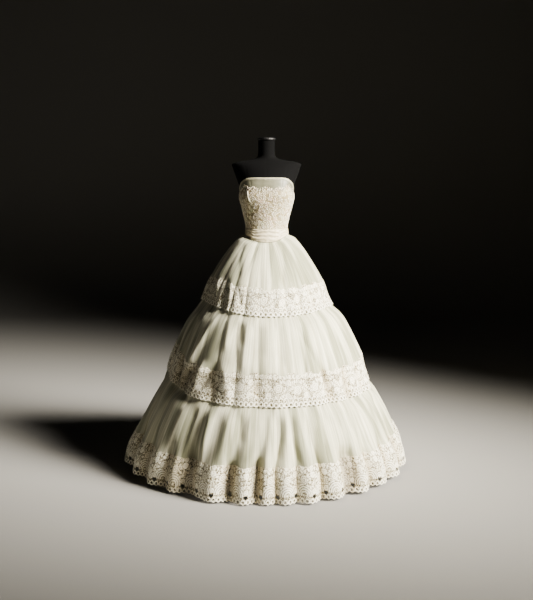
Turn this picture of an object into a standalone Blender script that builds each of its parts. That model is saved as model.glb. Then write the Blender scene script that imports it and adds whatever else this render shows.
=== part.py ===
"""A strapless wedding dress with three lace-edged net tiers, on a limbless dress form.

Metres, +Z up. The front faces -Y and the wearer's left is +X. The origin is the middle of the
round base's underside. Angles go round the body in degrees: 0 at the front centre, 90 at +X.
"""
import bisect
import math
from collections import namedtuple

import bmesh
import bpy
from mathutils import Vector

# Driving dimensions
SEAM_GAP = 0.0003
FORM_GAP = 0.0004
LAYER_GAP = 0.0007
CLOTH_WALL = 0.002
LACE_WALL = 0.0015
RELIEF = 0.0007
BINDING_WALL = 0.0014
BINDING_WIDTH = 0.009
WAIST_CLEARANCE = 0.0012
LACE_ON_NET = CLOTH_WALL / 2 + SEAM_GAP
LACE_OVER_SEAM = 0.030
LACE_HANGS_OFF = 0.007

BASE_RADIUS = 0.19
BASE_THICKNESS = 0.014
BASE_EDGE = 0.004
POLE_RADIUS = 0.016
COLLAR_RADIUS = 0.035
COLLAR_HEIGHT = 0.030
FORM_BOTTOM = 0.880
NECK_TOP = 1.560
CAP_RADIUS = 0.044
CAP_THICKNESS = 0.012
CAP_EDGE = 0.003

BUST_ANGLE = 36.0
BUST_HEIGHT = 1.300
BUST_RISE = 0.012
BUST_WIDTH = 20.0
BUST_TALL = 0.045

PRINCESS_SEAM = 32.0
SIDE_SEAM = 92.0
PLACKET_EDGE = 174.0
PLACKET_WALL = 0.0015
BUTTON_COUNT = 8
BUTTON_RADIUS = 0.0055
BUTTON_DOME = 0.0035
TOP_BUTTON_BELOW = 0.25
LOW_BUTTON_ROW = 2.25

# Sections of the dress form: height, half width, depth in front and behind
Section = namedtuple("Section", "height half_width front back")
FORM_SECTIONS = (
    Section(0.880, 0.148, 0.104, 0.122),
    Section(0.930, 0.154, 0.107, 0.124),
    Section(1.000, 0.146, 0.103, 0.114),
    Section(1.050, 0.124, 0.095, 0.100),
    Section(1.090, 0.106, 0.086, 0.089),
    Section(1.138, 0.0965, 0.079, 0.083),
    Section(1.172, 0.0995, 0.082, 0.085),
    Section(1.210, 0.1085, 0.092, 0.090),
    Section(1.249, 0.1185, 0.107, 0.095),
    Section(1.287, 0.1285, 0.118, 0.098),
    Section(1.325, 0.1265, 0.119, 0.101),
    Section(1.363, 0.138, 0.105, 0.102),
    Section(1.400, 0.151, 0.090, 0.098),
    Section(1.430, 0.161, 0.076, 0.085),
    Section(1.450, 0.164, 0.061, 0.066),
    Section(1.460, 0.132, 0.052, 0.055),
    Section(1.468, 0.084, 0.046, 0.050),
    Section(1.476, 0.054, 0.042, 0.046),
    Section(1.490, 0.041, 0.039, 0.042),
    Section(NECK_TOP, 0.039, 0.037, 0.040),
)
SHOULDER_ROWS = (1.430, 1.449, 1.459, 1.467, 1.477, 1.492, NECK_TOP)
HIP_ROWS = (0.0, 0.4, 0.75)
SHARP_ANGLE = 40.0

# Lines round the bodice: angle from the front centre, height there
Line = namedtuple("Line", "angle height")
WAIST_SEAM = (
    Line(0, 1.077),
    Line(20, 1.081),
    Line(40, 1.092),
    Line(60, 1.105),
    Line(90, 1.116),
    Line(180, 1.118),
)
BAND_TOP = (Line(0, 1.138), Line(60, 1.142), Line(90, 1.145), Line(180, 1.148))
NECKLINE = (
    Line(0, 1.381),
    Line(28, 1.381),
    Line(42, 1.377),
    Line(58, 1.362),
    Line(74, 1.342),
    Line(92, 1.329),
    Line(130, 1.320),
    Line(180, 1.318),
)

# Rows of the bodice above the waistband, as shares of the way up to the neckline
BODICE_SHARES = (0.16, 0.32, 0.47, 0.61, 0.75, 0.91, 1.0)
TOP_ROW = 2 + len(BODICE_SHARES)

# How far up its last row the beaded lace reaches: angle, share of that row
Edge = namedtuple("Edge", "angle share")
LACE_EDGE = (
    Edge(0, 0.55),
    Edge(8, 0.35),
    Edge(16, 0.20),
    Edge(24, 0.45),
    Edge(32, 0.35),
    Edge(42, 0.75),
    Edge(52, 1.00),
    Edge(180, 1.00),
)

# Outline of the skirt at the crests of its folds
Ring = namedtuple("Ring", "height radius")
SKIRT_OUTLINE = (
    Ring(0.000, 0.698),
    Ring(0.032, 0.694),
    Ring(0.110, 0.674),
    Ring(0.186, 0.632),
    Ring(0.263, 0.592),
    Ring(0.339, 0.548),
    Ring(0.400, 0.512),
    Ring(0.455, 0.492),
    Ring(0.494, 0.480),
    Ring(0.533, 0.468),
    Ring(0.611, 0.431),
    Ring(0.688, 0.391),
    Ring(0.727, 0.366),
    Ring(0.766, 0.334),
    Ring(0.804, 0.312),
    Ring(0.882, 0.282),
    Ring(0.959, 0.239),
    Ring(1.037, 0.187),
    Ring(1.075, 0.156),
    Ring(1.095, 0.137),
    Ring(1.116, 0.110),
)
WAIST_HEIGHT = 1.116
DROP_TO_ROUND = 0.30
DROP_TO_LEVEL = 0.25
DROP_TO_FLARE = 0.018
WAIST_EASE = 0.0008
WAIST_LIFT = FORM_GAP + WAIST_EASE + CLOTH_WALL / 2

# How far each lace flounce and the net it hangs from rise towards the sides
Rise = namedtuple("Rise", "angle first second third")
RISES = (
    Rise(-180, 0.018, 0.030, 0.006),
    Rise(-120, 0.045, 0.070, 0.014),
    Rise(-90, 0.046, 0.085, 0.018),
    Rise(-58, 0.038, 0.034, 0.010),
    Rise(-30, 0.017, 0.008, 0.004),
    Rise(0, 0.000, 0.000, 0.000),
    Rise(30, 0.004, 0.000, 0.006),
    Rise(60, 0.018, 0.002, 0.014),
    Rise(90, 0.016, 0.022, 0.022),
    Rise(120, 0.020, 0.030, 0.016),
    Rise(180, 0.018, 0.030, 0.006),
)

# Folds: the angle of a crest, how high it stands and how high the next valley stays (0 to 1)
Fold = namedtuple("Fold", "angle crest valley")
FIRST_FOLDS = (
    Fold(-170, 0.9, 0.1),
    Fold(-150, 1.0, 0.3),
    Fold(-129, 0.8, 0.0),
    Fold(-106, 1.0, 0.2),
    Fold(-82, 0.9, 0.1),
    Fold(-61, 1.0, 0.0),
    Fold(-38, 0.9, 0.1),
    Fold(-24, 1.0, 0.2),
    Fold(-12, 0.8, 0.4),
    Fold(1, 0.9, 0.5),
    Fold(11, 0.8, 0.3),
    Fold(23, 1.0, 0.2),
    Fold(37, 0.9, 0.3),
    Fold(51, 1.0, 0.2),
    Fold(72, 0.9, 0.1),
    Fold(92, 1.0, 0.2),
    Fold(111, 0.8, 0.0),
    Fold(131, 1.0, 0.2),
    Fold(152, 0.9, 0.1),
)
SECOND_FOLDS = (
    Fold(-166, 1.0, 0.1),
    Fold(-148, 0.9, 0.2),
    Fold(-128, 1.0, 0.0),
    Fold(-107, 0.8, 0.2),
    Fold(-86, 1.0, 0.0),
    Fold(-68, 0.8, 0.1),
    Fold(-51, 0.9, 0.0),
    Fold(-36, 1.0, 0.1),
    Fold(-22.5, 1.0, 0.3),
    Fold(-11, 0.9, 0.5),
    Fold(3, 0.9, 0.6),
    Fold(17, 1.0, 0.5),
    Fold(26, 1.0, 0.0),
    Fold(41, 1.0, 0.3),
    Fold(56, 0.9, 0.2),
    Fold(71, 1.0, 0.1),
    Fold(90, 0.9, 0.1),
    Fold(108, 1.0, 0.3),
    Fold(126, 0.8, 0.0),
    Fold(144, 1.0, 0.2),
    Fold(161, 0.9, 0.1),
    Fold(178, 1.0, 0.2),
)
HEM_FOLDS = (
    Fold(-163, 1.0, 0.1),
    Fold(-147, 0.9, 0.2),
    Fold(-131, 1.0, 0.0),
    Fold(-114, 0.9, 0.2),
    Fold(-97, 1.0, 0.1),
    Fold(-80, 1.0, 0.1),
    Fold(-63, 0.9, 0.2),
    Fold(-50, 0.8, 0.2),
    Fold(-38, 1.0, 0.0),
    Fold(-20.5, 1.0, 0.2),
    Fold(-8, 0.9, 0.3),
    Fold(-0.5, 0.8, 0.3),
    Fold(7, 0.9, 0.3),
    Fold(15.5, 1.0, 0.1),
    Fold(26.5, 1.0, 0.0),
    Fold(38.5, 1.0, 0.2),
    Fold(49.5, 0.9, 0.1),
    Fold(61, 1.0, 0.1),
    Fold(75, 0.9, 0.0),
    Fold(99, 1.0, 0.1),
    Fold(115, 0.9, 0.2),
    Fold(131, 1.0, 0.0),
    Fold(147, 0.8, 0.2),
    Fold(164, 1.0, 0.1),
    Fold(181, 0.9, 0.1),
)
COLUMN_PHASES = (1 / 6, 1 / 2, 5 / 6)
CREST_BREADTH = 0.45

# One row for each tier: its folds, how deep they are at its head and its hem, and its lace
Tier = namedtuple("Tier", "name folds rise head_depth hem_depth lace_top lace_hem")
TIERS = (
    Tier("first", FIRST_FOLDS, "first", 0.003, 0.020, 0.874, 0.754),
    Tier("second", SECOND_FOLDS, "second", 0.012, 0.030, 0.520, 0.381),
    Tier("third", HEM_FOLDS, "third", 0.020, 0.046, 0.153, 0.005),
)
FOLDS_SETTLE = 0.12
LACE_CLEARS = 0.04
SCALLOP_DEPTH = 0.006

# An eyelet in a cell of lace: its sides across the cell, and its lower edge and height up it
EYELET_SIDES = (0.28, 0.72)
EYELET_LOW = 0.12
EYELET_HEIGHT = 0.020

# The first tier's first row of points, and the hem lace's middle row, as shares of the way down
GATHER_ROW = 0.14
HEM_ROW = 0.45

# The heights of the pleats across the waistband, from its lower edge to its upper edge
PLEAT_OFFSETS = (0.0016, 0.0048, 0.0020, 0.0052, 0.0020, 0.0046, 0.0014)

# How far the bodice's outer side and the pieces laid on it stand off the form
BODICE_LIFT = FORM_GAP + CLOTH_WALL
ON_BODICE = BODICE_LIFT + LAYER_GAP

# Rows of the bodice counted from the waist seam: the beaded lace starts just above the waistband
ABOVE_BAND = 2.02
LACE_ROW = TOP_ROW - 2
FLOWERS_ROUND = 11.25
FLOWER_START = 0.6


def between(start, end, share):
    """The value or point that lies this share of the way from start to end."""
    return start + (end - start) * share


def ease(share):
    """A share from 0 to 1 with soft ends."""
    share = min(1.0, max(0.0, share))
    return share * share * (3.0 - 2.0 * share)


def read(table, column, at):
    """Reads one column of a table on a smooth curve through its rows, by its first column."""
    places = [row[0] for row in table]
    values = [getattr(row, column) for row in table]
    if at <= places[0]:
        return values[0]
    if at >= places[-1]:
        return values[-1]
    here = bisect.bisect_right(places, at) - 1

    def slope(row):
        low = max(0, row - 1)
        high = min(len(places) - 1, row + 1)
        return (values[high] - values[low]) / (places[high] - places[low])

    length = places[here + 1] - places[here]
    share = (at - places[here]) / length
    rise = ease(share)
    leaving = slope(here) * length * share * (1.0 - share) ** 2
    arriving = slope(here + 1) * length * share**2 * (share - 1.0)
    return between(values[here], values[here + 1], rise) + leaving + arriving


def wrapped(angle):
    """The same angle between -180 and 180."""
    return (angle + 180.0) % 360.0 - 180.0


def form_point(angle, height):
    """A point of the dress form's surface, with the fullness of the bust."""
    turn = math.radians(angle)
    off_bust = (abs(wrapped(angle)) - BUST_ANGLE) / BUST_WIDTH
    above_bust = (height - BUST_HEIGHT) / BUST_TALL
    bust = BUST_RISE * math.exp(-(off_bust**2) - above_bust**2)
    half_width = read(FORM_SECTIONS, "half_width", height) + bust
    side = "front" if math.cos(turn) > 0 else "back"
    depth = read(FORM_SECTIONS, side, height) + bust
    return Vector((half_width * math.sin(turn), -depth * math.cos(turn), height))


def line_height(line, angle):
    return read(line, "height", abs(wrapped(angle)))


def normal_of(surface, angle, height):
    """The direction that points out of a surface."""
    turn_step = 0.5
    height_step = 0.002
    along = surface(angle + turn_step, height) - surface(angle - turn_step, height)
    up = surface(angle, height + height_step) - surface(angle, height - height_step)
    return along.cross(up).normalized()


def bodice_heights(angle):
    """The bodice's rows at an angle: waist seam, middle and top of the band, then the neckline."""
    seam = line_height(WAIST_SEAM, angle)
    band = line_height(BAND_TOP, angle)
    top = line_height(NECKLINE, angle)
    above = [between(band, top, share) for share in BODICE_SHARES]
    return [seam, between(seam, band, 0.5), band, *above]


def bodice_point(angle, row, out):
    """A point on the flat facets between the bodice's rows, moved out from the form."""
    heights = bodice_heights(angle)
    low = min(int(row), len(heights) - 2)
    ends = []
    for height in (heights[low], heights[low + 1]):
        ends.append(form_point(angle, height) + normal_of(form_point, angle, height) * out)
    return between(ends[0], ends[1], row - low)


def hem_rise(tier, angle):
    return read(RISES, tier.rise, wrapped(angle))


def lace_top(tier, angle):
    return tier.lace_top + hem_rise(tier, angle)


def lace_hem(tier, angle):
    return tier.lace_hem + hem_rise(tier, angle)


def seam_below(tier, angle):
    """The seam behind a lace flounce where a tier's net ends and the next one starts."""
    return lace_top(tier, angle) - LACE_OVER_SEAM


def fold_height(folds, angle):
    """How far out the cloth stands at an angle: 1 on a full crest and 0 in a full valley."""
    angles = [fold.angle for fold in folds]
    angle = (angle - angles[0]) % 360.0 + angles[0]
    here = bisect.bisect_right(angles, angle) - 1
    start = folds[here]
    end = folds[(here + 1) % len(folds)]
    width = (end.angle - start.angle) % 360.0
    share = (angle - start.angle) / width
    crest = start.crest if share < 0.5 else end.crest
    swing = (0.5 + 0.5 * math.cos(2.0 * math.pi * share)) ** CREST_BREADTH
    return between(start.valley, crest, swing)


def tier_point(tier, angle, height):
    """A point of a tier's own surface: round, flared from the waist, with its folds."""
    above = WAIST_HEIGHT if tier is TIERS[0] else lace_hem(TIERS[TIERS.index(tier) - 1], angle)
    depth = between(tier.head_depth, tier.hem_depth, ease((above - height) / (above - tier.lace_hem)))
    seam = line_height(WAIST_SEAM, angle)
    drop = max(0.0, seam - height)
    level = height + (WAIST_HEIGHT - seam) * (1.0 - ease(drop / DROP_TO_LEVEL))
    radius = read(SKIRT_OUTLINE, "radius", level) - depth * (1.0 - fold_height(tier.folds, angle))
    turn = math.radians(angle)
    side, middle = ("front", 0) if math.cos(turn) > 0 else ("back", 180)
    waist_depth = read(FORM_SECTIONS, side, line_height(WAIST_SEAM, middle)) + WAIST_LIFT
    ratio = between(waist_depth / SKIRT_OUTLINE[-1].radius, 1.0, ease(drop / DROP_TO_ROUND) ** 0.5)
    flared = Vector((radius * math.sin(turn), -radius * ratio * math.cos(turn), height))
    sewn = form_point(angle, seam)
    sewn += Vector((sewn.x, sewn.y, 0.0)).normalized() * WAIST_LIFT
    sewn.z = height
    return between(sewn, flared, ease(drop / DROP_TO_FLARE))


def net_surface(tier):
    """The surface of a tier's net. Under the flounce above it keeps that flounce's folds."""
    place = TIERS.index(tier)

    def point(angle, height):
        own = tier_point(tier, angle, height)
        if place == 0:
            return own
        flounce = TIERS[place - 1]
        hem = lace_hem(flounce, angle)
        seam = seam_below(flounce, angle)
        carried = tier_point(flounce, angle, height)
        share = ease((seam - height) / (seam - hem)) - ease((hem - height) / LACE_CLEARS)
        inward = Vector((carried.x, carried.y, 0.0)).normalized() * LACE_HANGS_OFF * share
        return between(carried - inward, own, ease((hem - height) / FOLDS_SETTLE))

    return point


def lace_surface(tier):
    return lambda angle, height: tier_point(tier, angle, height)


def fold_columns():
    """The angles of the skirt's columns: a flat crest and a valley for each fold of the hem."""
    columns = []
    for number, fold in enumerate(HEM_FOLDS):
        after = HEM_FOLDS[(number + 1) % len(HEM_FOLDS)]
        width = (after.angle - fold.angle) % 360.0
        columns += [wrapped(fold.angle + width * phase) for phase in COLUMN_PHASES]
    return sorted(columns)


def half_columns(columns, front):
    """The columns of a front or a back piece, from one side seam to the other."""
    left = min(columns, key=lambda angle: abs(angle + 90.0))
    right = min(columns, key=lambda angle: abs(angle - 90.0))
    if front:
        return [angle for angle in columns if left <= angle <= right]
    behind = [angle for angle in columns if angle >= right]
    return behind + [angle + 360.0 for angle in columns if angle <= left]


def grid(surface, columns, rows, out):
    """Rows of points on a surface, moved out by a distance along its normals."""
    points = []
    for row in rows:
        line = []
        for angle in columns:
            height = row(angle)
            line.append(surface(angle, height) + normal_of(surface, angle, height) * out)
        points.append(line)
    return points


def open_side_seams(points):
    """Draws the first and last column in by half a seam's gap."""
    for line in points:
        first = (line[1] - line[0]).normalized() * (SEAM_GAP / 2)
        last = (line[-2] - line[-1]).normalized() * (SEAM_GAP / 2)
        line[0] = line[0] + first
        line[-1] = line[-1] + last


def finish_object(name, shape, material, collection):
    """Makes an object of a bmesh, in triangles, with its faces out and its round parts smooth."""
    bmesh.ops.triangulate(shape, faces=shape.faces[:], quad_method="FIXED", ngon_method="BEAUTY")
    bmesh.ops.recalc_face_normals(shape, faces=shape.faces[:])
    mesh = bpy.data.meshes.new(name)
    shape.to_mesh(mesh)
    shape.free()
    mesh.shade_smooth()
    mesh.set_sharp_from_angle(angle=math.radians(SHARP_ANGLE))
    mesh.materials.append(material)
    made = bpy.data.objects.new(name, mesh)
    collection.objects.link(made)
    return made


def eyelet(corners):
    """The four corners of an eyelet in a cell of lace, whose first two corners are its top."""
    top_left, top_right, low_right, low_left = corners
    high = EYELET_LOW + EYELET_HEIGHT / (top_left - low_left).length
    start, end = EYELET_SIDES
    places = ((start, high), (end, high), (end, EYELET_LOW), (start, EYELET_LOW))
    return [
        between(between(low_left, low_right, across), between(top_left, top_right, across), up)
        for across, up in places
    ]


def wall(name, inner, outer, material, collection, holes=()):
    """A closed wall between an inner and an outer grid of points, cut through at some cells."""
    shape = bmesh.new()
    skins = [[[shape.verts.new(point) for point in line] for line in side] for side in (inner, outer)]
    rows = len(outer)
    columns = len(outer[0])

    def cell(row, column):
        return ((row, column), (row, column + 1), (row + 1, column + 1), (row + 1, column))

    for row in range(rows - 1):
        for column in range(columns - 1):
            corners = cell(row, column)
            if (row, column) not in holes:
                for skin in skins:
                    shape.faces.new([skin[r][c] for r, c in corners])
                continue
            rims = []
            for skin in skins:
                edge = [skin[r][c] for r, c in corners]
                rim = [shape.verts.new(point) for point in eyelet([vert.co for vert in edge])]
                for side in range(4):
                    after = (side + 1) % 4
                    shape.faces.new([edge[side], edge[after], rim[after], rim[side]])
                rims.append(rim)
            for side in range(4):
                after = (side + 1) % 4
                shape.faces.new([rims[0][side], rims[0][after], rims[1][after], rims[1][side]])
    border = [(0, column) for column in range(columns)]
    border += [(row, columns - 1) for row in range(1, rows)]
    border += [(rows - 1, column) for column in range(columns - 2, -1, -1)]
    border += [(row, 0) for row in range(rows - 2, 0, -1)]
    for place, (row, column) in enumerate(border):
        next_row, next_column = border[(place + 1) % len(border)]
        shape.faces.new(
            [skins[0][row][column], skins[0][next_row][next_column],
             skins[1][next_row][next_column], skins[1][row][column]]
        )
    return finish_object(name, shape, material, collection)


def fabric(name, colour, roughness, metallic=0.0):
    """A Principled material with an sRGB colour from 0 to 1."""
    material = bpy.data.materials.new(name)
    material.use_nodes = True
    shader = material.node_tree.nodes["Principled BSDF"]
    linear = [c / 12.92 if c <= 0.04045 else ((c + 0.055) / 1.055) ** 2.4 for c in colour]
    shader.inputs["Base Color"].default_value = (*linear, 1.0)
    shader.inputs["Roughness"].default_value = roughness
    shader.inputs["Metallic"].default_value = metallic
    material.diffuse_color = (*colour, 1.0)
    return material


def bodice_columns(start, end):
    """The bodice's columns between two angles, which every layer on it shares."""
    quarter = [0, 8, 16, 24, PRINCESS_SEAM, 42, 52, 62, 72, 82, SIDE_SEAM]
    quarter += [104, 116, 128, 140, 152, 163, PLACKET_EDGE, 180]
    every = [-angle for angle in reversed(quarter[1:])] + quarter
    every += [360 - angle for angle in reversed(quarter[1:-1])]
    return [angle for angle in every if start <= angle <= end]


def bodice_layer(columns, rows, out):
    """Points on the bodice's facets. Each row gives a row number for an angle."""
    return [[bodice_point(angle, row(angle), out(angle, row(angle))) for angle in columns] for row in rows]


def at_row(number):
    return lambda angle: number


def lies_at(distance):
    return lambda angle, row: distance


def make_bodice(collection):
    satin = fabric("ivory satin", (0.90, 0.87, 0.78), 0.45)
    panels = {
        "bodice_front_centre": (-PRINCESS_SEAM, PRINCESS_SEAM),
        "bodice_side_front_left": (PRINCESS_SEAM, SIDE_SEAM),
        "bodice_side_front_right": (-SIDE_SEAM, -PRINCESS_SEAM),
        "bodice_back_left": (SIDE_SEAM, 180),
        "bodice_back_right": (-180, -SIDE_SEAM),
    }
    for name, (start, end) in panels.items():
        columns = bodice_columns(start, end)
        rows = [at_row(number) for number in range(TOP_ROW + 1)]
        inner = bodice_layer(columns, rows, lies_at(FORM_GAP))
        outer = bodice_layer(columns, rows, lies_at(BODICE_LIFT))
        open_side_seams(inner)
        open_side_seams(outer)
        wall(name, inner, outer, satin, collection)


def binding_row(angle):
    """The row at which the binding's lower edge lies."""
    heights = bodice_heights(angle)
    return TOP_ROW - BINDING_WIDTH / (heights[-1] - heights[-2])


def make_binding(collection):
    satin = fabric("ivory satin binding", (0.93, 0.91, 0.83), 0.40)
    columns = bodice_columns(-180, 180)
    rows = [binding_row, at_row(TOP_ROW)]
    inner = bodice_layer(columns, rows, lies_at(ON_BODICE))
    outer = bodice_layer(columns, rows, lies_at(ON_BODICE + BINDING_WALL))
    open_side_seams(inner)
    open_side_seams(outer)
    wall("neckline_binding", inner, outer, satin, collection)


def lace_relief(angle, row):
    """The lace's raised flowers stand out in turn over its thinner ground."""
    flower = math.sin(math.radians(angle * FLOWERS_ROUND)) * math.sin(math.pi * row + FLOWER_START)
    return ON_BODICE + LACE_WALL + RELIEF * flower


def lace_edge_row(angle):
    """The row that the beaded lace's upper edge reaches, lower at the front centre."""
    return LACE_ROW + read(LACE_EDGE, "share", abs(wrapped(angle)))


def make_bodice_lace(collection):
    lace = fabric("beaded ivory lace", (0.88, 0.83, 0.73), 0.60)
    pieces = {
        "bodice_lace_front": (-SIDE_SEAM, SIDE_SEAM),
        "bodice_lace_back_left": (SIDE_SEAM, PLACKET_EDGE),
        "bodice_lace_back_right": (-PLACKET_EDGE, -SIDE_SEAM),
    }
    for name, (start, end) in pieces.items():
        columns = bodice_columns(start, end)
        rows = [at_row(ABOVE_BAND)] + [at_row(number) for number in range(3, LACE_ROW + 1)] + [lace_edge_row]
        inner = bodice_layer(columns, rows, lies_at(ON_BODICE))
        outer = bodice_layer(columns, rows, lace_relief)
        open_side_seams(inner)
        open_side_seams(outer)
        wall(name, inner, outer, lace, collection)


def make_waistband(collection):
    satin = fabric("pleated ivory satin", (0.91, 0.88, 0.79), 0.40)
    columns = bodice_columns(-180, 180)
    count = len(PLEAT_OFFSETS) - 1
    rows = [at_row(2.0 * step / count) for step in range(count + 1)]
    inner = bodice_layer(columns, rows, lies_at(ON_BODICE))
    outer = bodice_layer(columns, rows, lambda angle, row: ON_BODICE + PLEAT_OFFSETS[round(row * count / 2)])
    open_side_seams(inner)
    open_side_seams(outer)
    wall("waistband", inner, outer, satin, collection)


def make_closure(collection):
    """The placket over the centre back and its covered buttons."""
    satin = fabric("ivory satin placket", (0.92, 0.89, 0.81), 0.42)
    columns = bodice_columns(PLACKET_EDGE, 360 - PLACKET_EDGE)
    rows = [at_row(ABOVE_BAND)] + [at_row(number) for number in range(3, TOP_ROW)]
    rows.append(lambda angle: binding_row(angle) - 0.03)
    inner = bodice_layer(columns, rows, lies_at(ON_BODICE))
    outer = bodice_layer(columns, rows, lies_at(ON_BODICE + PLACKET_WALL))
    open_side_seams(inner)
    open_side_seams(outer)
    wall("back_placket", inner, outer, satin, collection)

    covered = fabric("covered buttons", (0.95, 0.93, 0.86), 0.38)
    shape = bmesh.new()
    bmesh.ops.create_uvsphere(shape, u_segments=8, v_segments=5, radius=1.0)
    bmesh.ops.scale(shape, vec=(BUTTON_RADIUS, BUTTON_RADIUS, BUTTON_DOME), verts=shape.verts[:])
    first = finish_object("back_button_1", shape, covered, collection)
    highest = binding_row(180) - TOP_BUTTON_BELOW
    out = ON_BODICE + PLACKET_WALL + SEAM_GAP + BUTTON_DOME
    for number in range(BUTTON_COUNT):
        row = between(highest, LOW_BUTTON_ROW, number / (BUTTON_COUNT - 1))
        below = bodice_point(180, row - 0.1, out)
        above = bodice_point(180, row + 0.1, out)
        outward = (above - below).cross(Vector((1.0, 0.0, 0.0)))
        button = first
        if number:
            button = bpy.data.objects.new(f"back_button_{number + 1}", first.data)
            collection.objects.link(button)
        button.location = bodice_point(180, row, out)
        button.rotation_euler = outward.to_track_quat("Z", "Y").to_euler()


def make_net(tier, columns, collection):
    """The front and back pieces of a tier's net, gathered at the head."""
    net = fabric(f"{tier.name} tier net", (0.84, 0.83, 0.76), 0.75)
    place = TIERS.index(tier)
    half_gap = SEAM_GAP / 2

    def head(angle):
        if place == 0:
            return line_height(WAIST_SEAM, angle) - WAIST_CLEARANCE
        return seam_below(TIERS[place - 1], angle) - half_gap

    def below_flounce(angle):
        if place == 0:
            return between(head(angle), lace_top(tier, angle), GATHER_ROW)
        return lace_hem(TIERS[place - 1], angle)

    def part_way(share):
        return lambda angle: between(below_flounce(angle), lace_top(tier, angle), share)

    def foot(angle):
        return seam_below(tier, angle) + half_gap

    rows = [head, below_flounce, part_way(0.5), part_way(1.0), foot]
    surface = net_surface(tier)
    for name, front in (("front", True), ("back", False)):
        angles = half_columns(columns, front)
        inner = grid(surface, angles, rows, -CLOTH_WALL / 2)
        outer = grid(surface, angles, rows, CLOTH_WALL / 2)
        open_side_seams(inner)
        open_side_seams(outer)
        wall(f"{tier.name}_tier_net_{name}", inner, outer, net, collection)


def make_flounce(tier, columns, collection):
    """The front and back pieces of a lace flounce, with its largest eyelets cut through."""
    lace = fabric(f"{tier.name} tier lace", (0.93, 0.90, 0.82), 0.65)
    last = tier is TIERS[-1]

    def scalloped(angle):
        step = min(range(len(columns)), key=lambda number: abs(wrapped(columns[number] - angle)))
        return lace_hem(tier, angle) + SCALLOP_DEPTH * (step % 2)

    rows = [lambda angle: lace_top(tier, angle), lambda angle: seam_below(tier, angle), scalloped]
    if last:
        rows.insert(2, lambda angle: between(seam_below(tier, angle), lace_hem(tier, angle), HEM_ROW))
    surface = lace_surface(tier)
    eyelet_every = 2 if last else 4
    for name, front in (("front", True), ("back", False)):
        angles = half_columns(columns, front)
        inner = grid(surface, angles, rows, LACE_ON_NET)
        outer = grid(surface, angles, rows, LACE_ON_NET + LACE_WALL)
        open_side_seams(inner)
        open_side_seams(outer)
        lowest = len(rows) - 2
        holes = {(lowest, column) for column in range(1, len(angles) - 2, eyelet_every)}
        wall(f"{tier.name}_tier_lace_{name}", inner, outer, lace, collection, holes)


def make_form(collection):
    """The torso of the dress form, smooth and closed, with its rows where the bodice has them."""
    black = fabric("black form cover", (0.035, 0.035, 0.038), 0.80)
    columns = bodice_columns(-180, 179)
    rings = []
    for share in HIP_ROWS:
        rings.append([form_point(a, between(FORM_BOTTOM, line_height(WAIST_SEAM, a), share)) for a in columns])
    for row in range(TOP_ROW + 1):
        rings.append([form_point(angle, bodice_heights(angle)[row]) for angle in columns])
    rings.append([form_point(a, between(line_height(NECKLINE, a), SHOULDER_ROWS[0], 0.5)) for a in columns])
    for height in SHOULDER_ROWS:
        rings.append([form_point(angle, height) for angle in columns])
    shape = bmesh.new()
    lines = [[shape.verts.new(point) for point in ring] for ring in rings]
    for lower, upper in zip(lines, lines[1:]):
        for column in range(len(columns)):
            after = (column + 1) % len(columns)
            shape.faces.new([lower[column], lower[after], upper[after], upper[column]])
    shape.faces.new(lines[0])
    shape.faces.new(lines[-1])
    finish_object("form_torso", shape, black, collection)


def turned(name, radius, low, high, edge, sides, material, collection):
    """A round piece standing on Z, with its edges rounded."""
    shape = bmesh.new()
    bmesh.ops.create_cone(
        shape, cap_ends=True, segments=sides, radius1=radius, radius2=radius, depth=high - low
    )
    bmesh.ops.translate(shape, vec=(0.0, 0.0, (low + high) / 2), verts=shape.verts[:])
    if edge:
        rims = [e for e in shape.edges if len(e.link_faces) == 2 and e.calc_face_angle() > 1.0]
        bmesh.ops.bevel(
            shape, geom=rims, offset=edge, segments=1, profile=0.5, affect="EDGES", material=-1
        )
    return finish_object(name, shape, material, collection)


def make_stand(collection):
    painted = fabric("black painted metal", (0.04, 0.04, 0.042), 0.45)
    turned("form_base", BASE_RADIUS, 0.0, BASE_THICKNESS, BASE_EDGE, 36, painted, collection)
    collar_low = BASE_THICKNESS + SEAM_GAP
    collar_high = collar_low + COLLAR_HEIGHT
    turned("form_collar", COLLAR_RADIUS, collar_low, collar_high, BASE_EDGE, 24, painted, collection)
    steel = fabric("pole steel", (0.20, 0.20, 0.21), 0.35, 1.0)
    turned("form_pole", POLE_RADIUS, collar_high + SEAM_GAP, FORM_BOTTOM - SEAM_GAP, 0.0, 20, steel, collection)
    cap_low = NECK_TOP + SEAM_GAP
    turned("form_neck_cap", CAP_RADIUS, cap_low, cap_low + CAP_THICKNESS, CAP_EDGE, 24, painted, collection)


def main():
    for old in list(bpy.data.objects):
        bpy.data.objects.remove(old, do_unlink=True)
    collection = bpy.data.collections.new("wedding_dress")
    bpy.context.scene.collection.children.link(collection)
    make_form(collection)
    make_stand(collection)
    make_bodice(collection)
    make_binding(collection)
    make_bodice_lace(collection)
    make_waistband(collection)
    make_closure(collection)
    columns = fold_columns()
    for tier in TIERS:
        make_net(tier, columns, collection)
        make_flounce(tier, columns, collection)


main()
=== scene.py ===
# %% [markdown]
# # A strapless wedding dress on its form
# This lesson dresses a plain model of a ball gown in cloth: a satin bodice under beaded lace, a
# draped waistband, and three tiers of gathered net, each ending in a flounce of lace. The solid
# model is loaded first and fixes every size. Angles go round the body in degrees, 0 at the front
# centre and 90 at +X, and heights are metres above the floor.

import math
from collections import namedtuple

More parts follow.
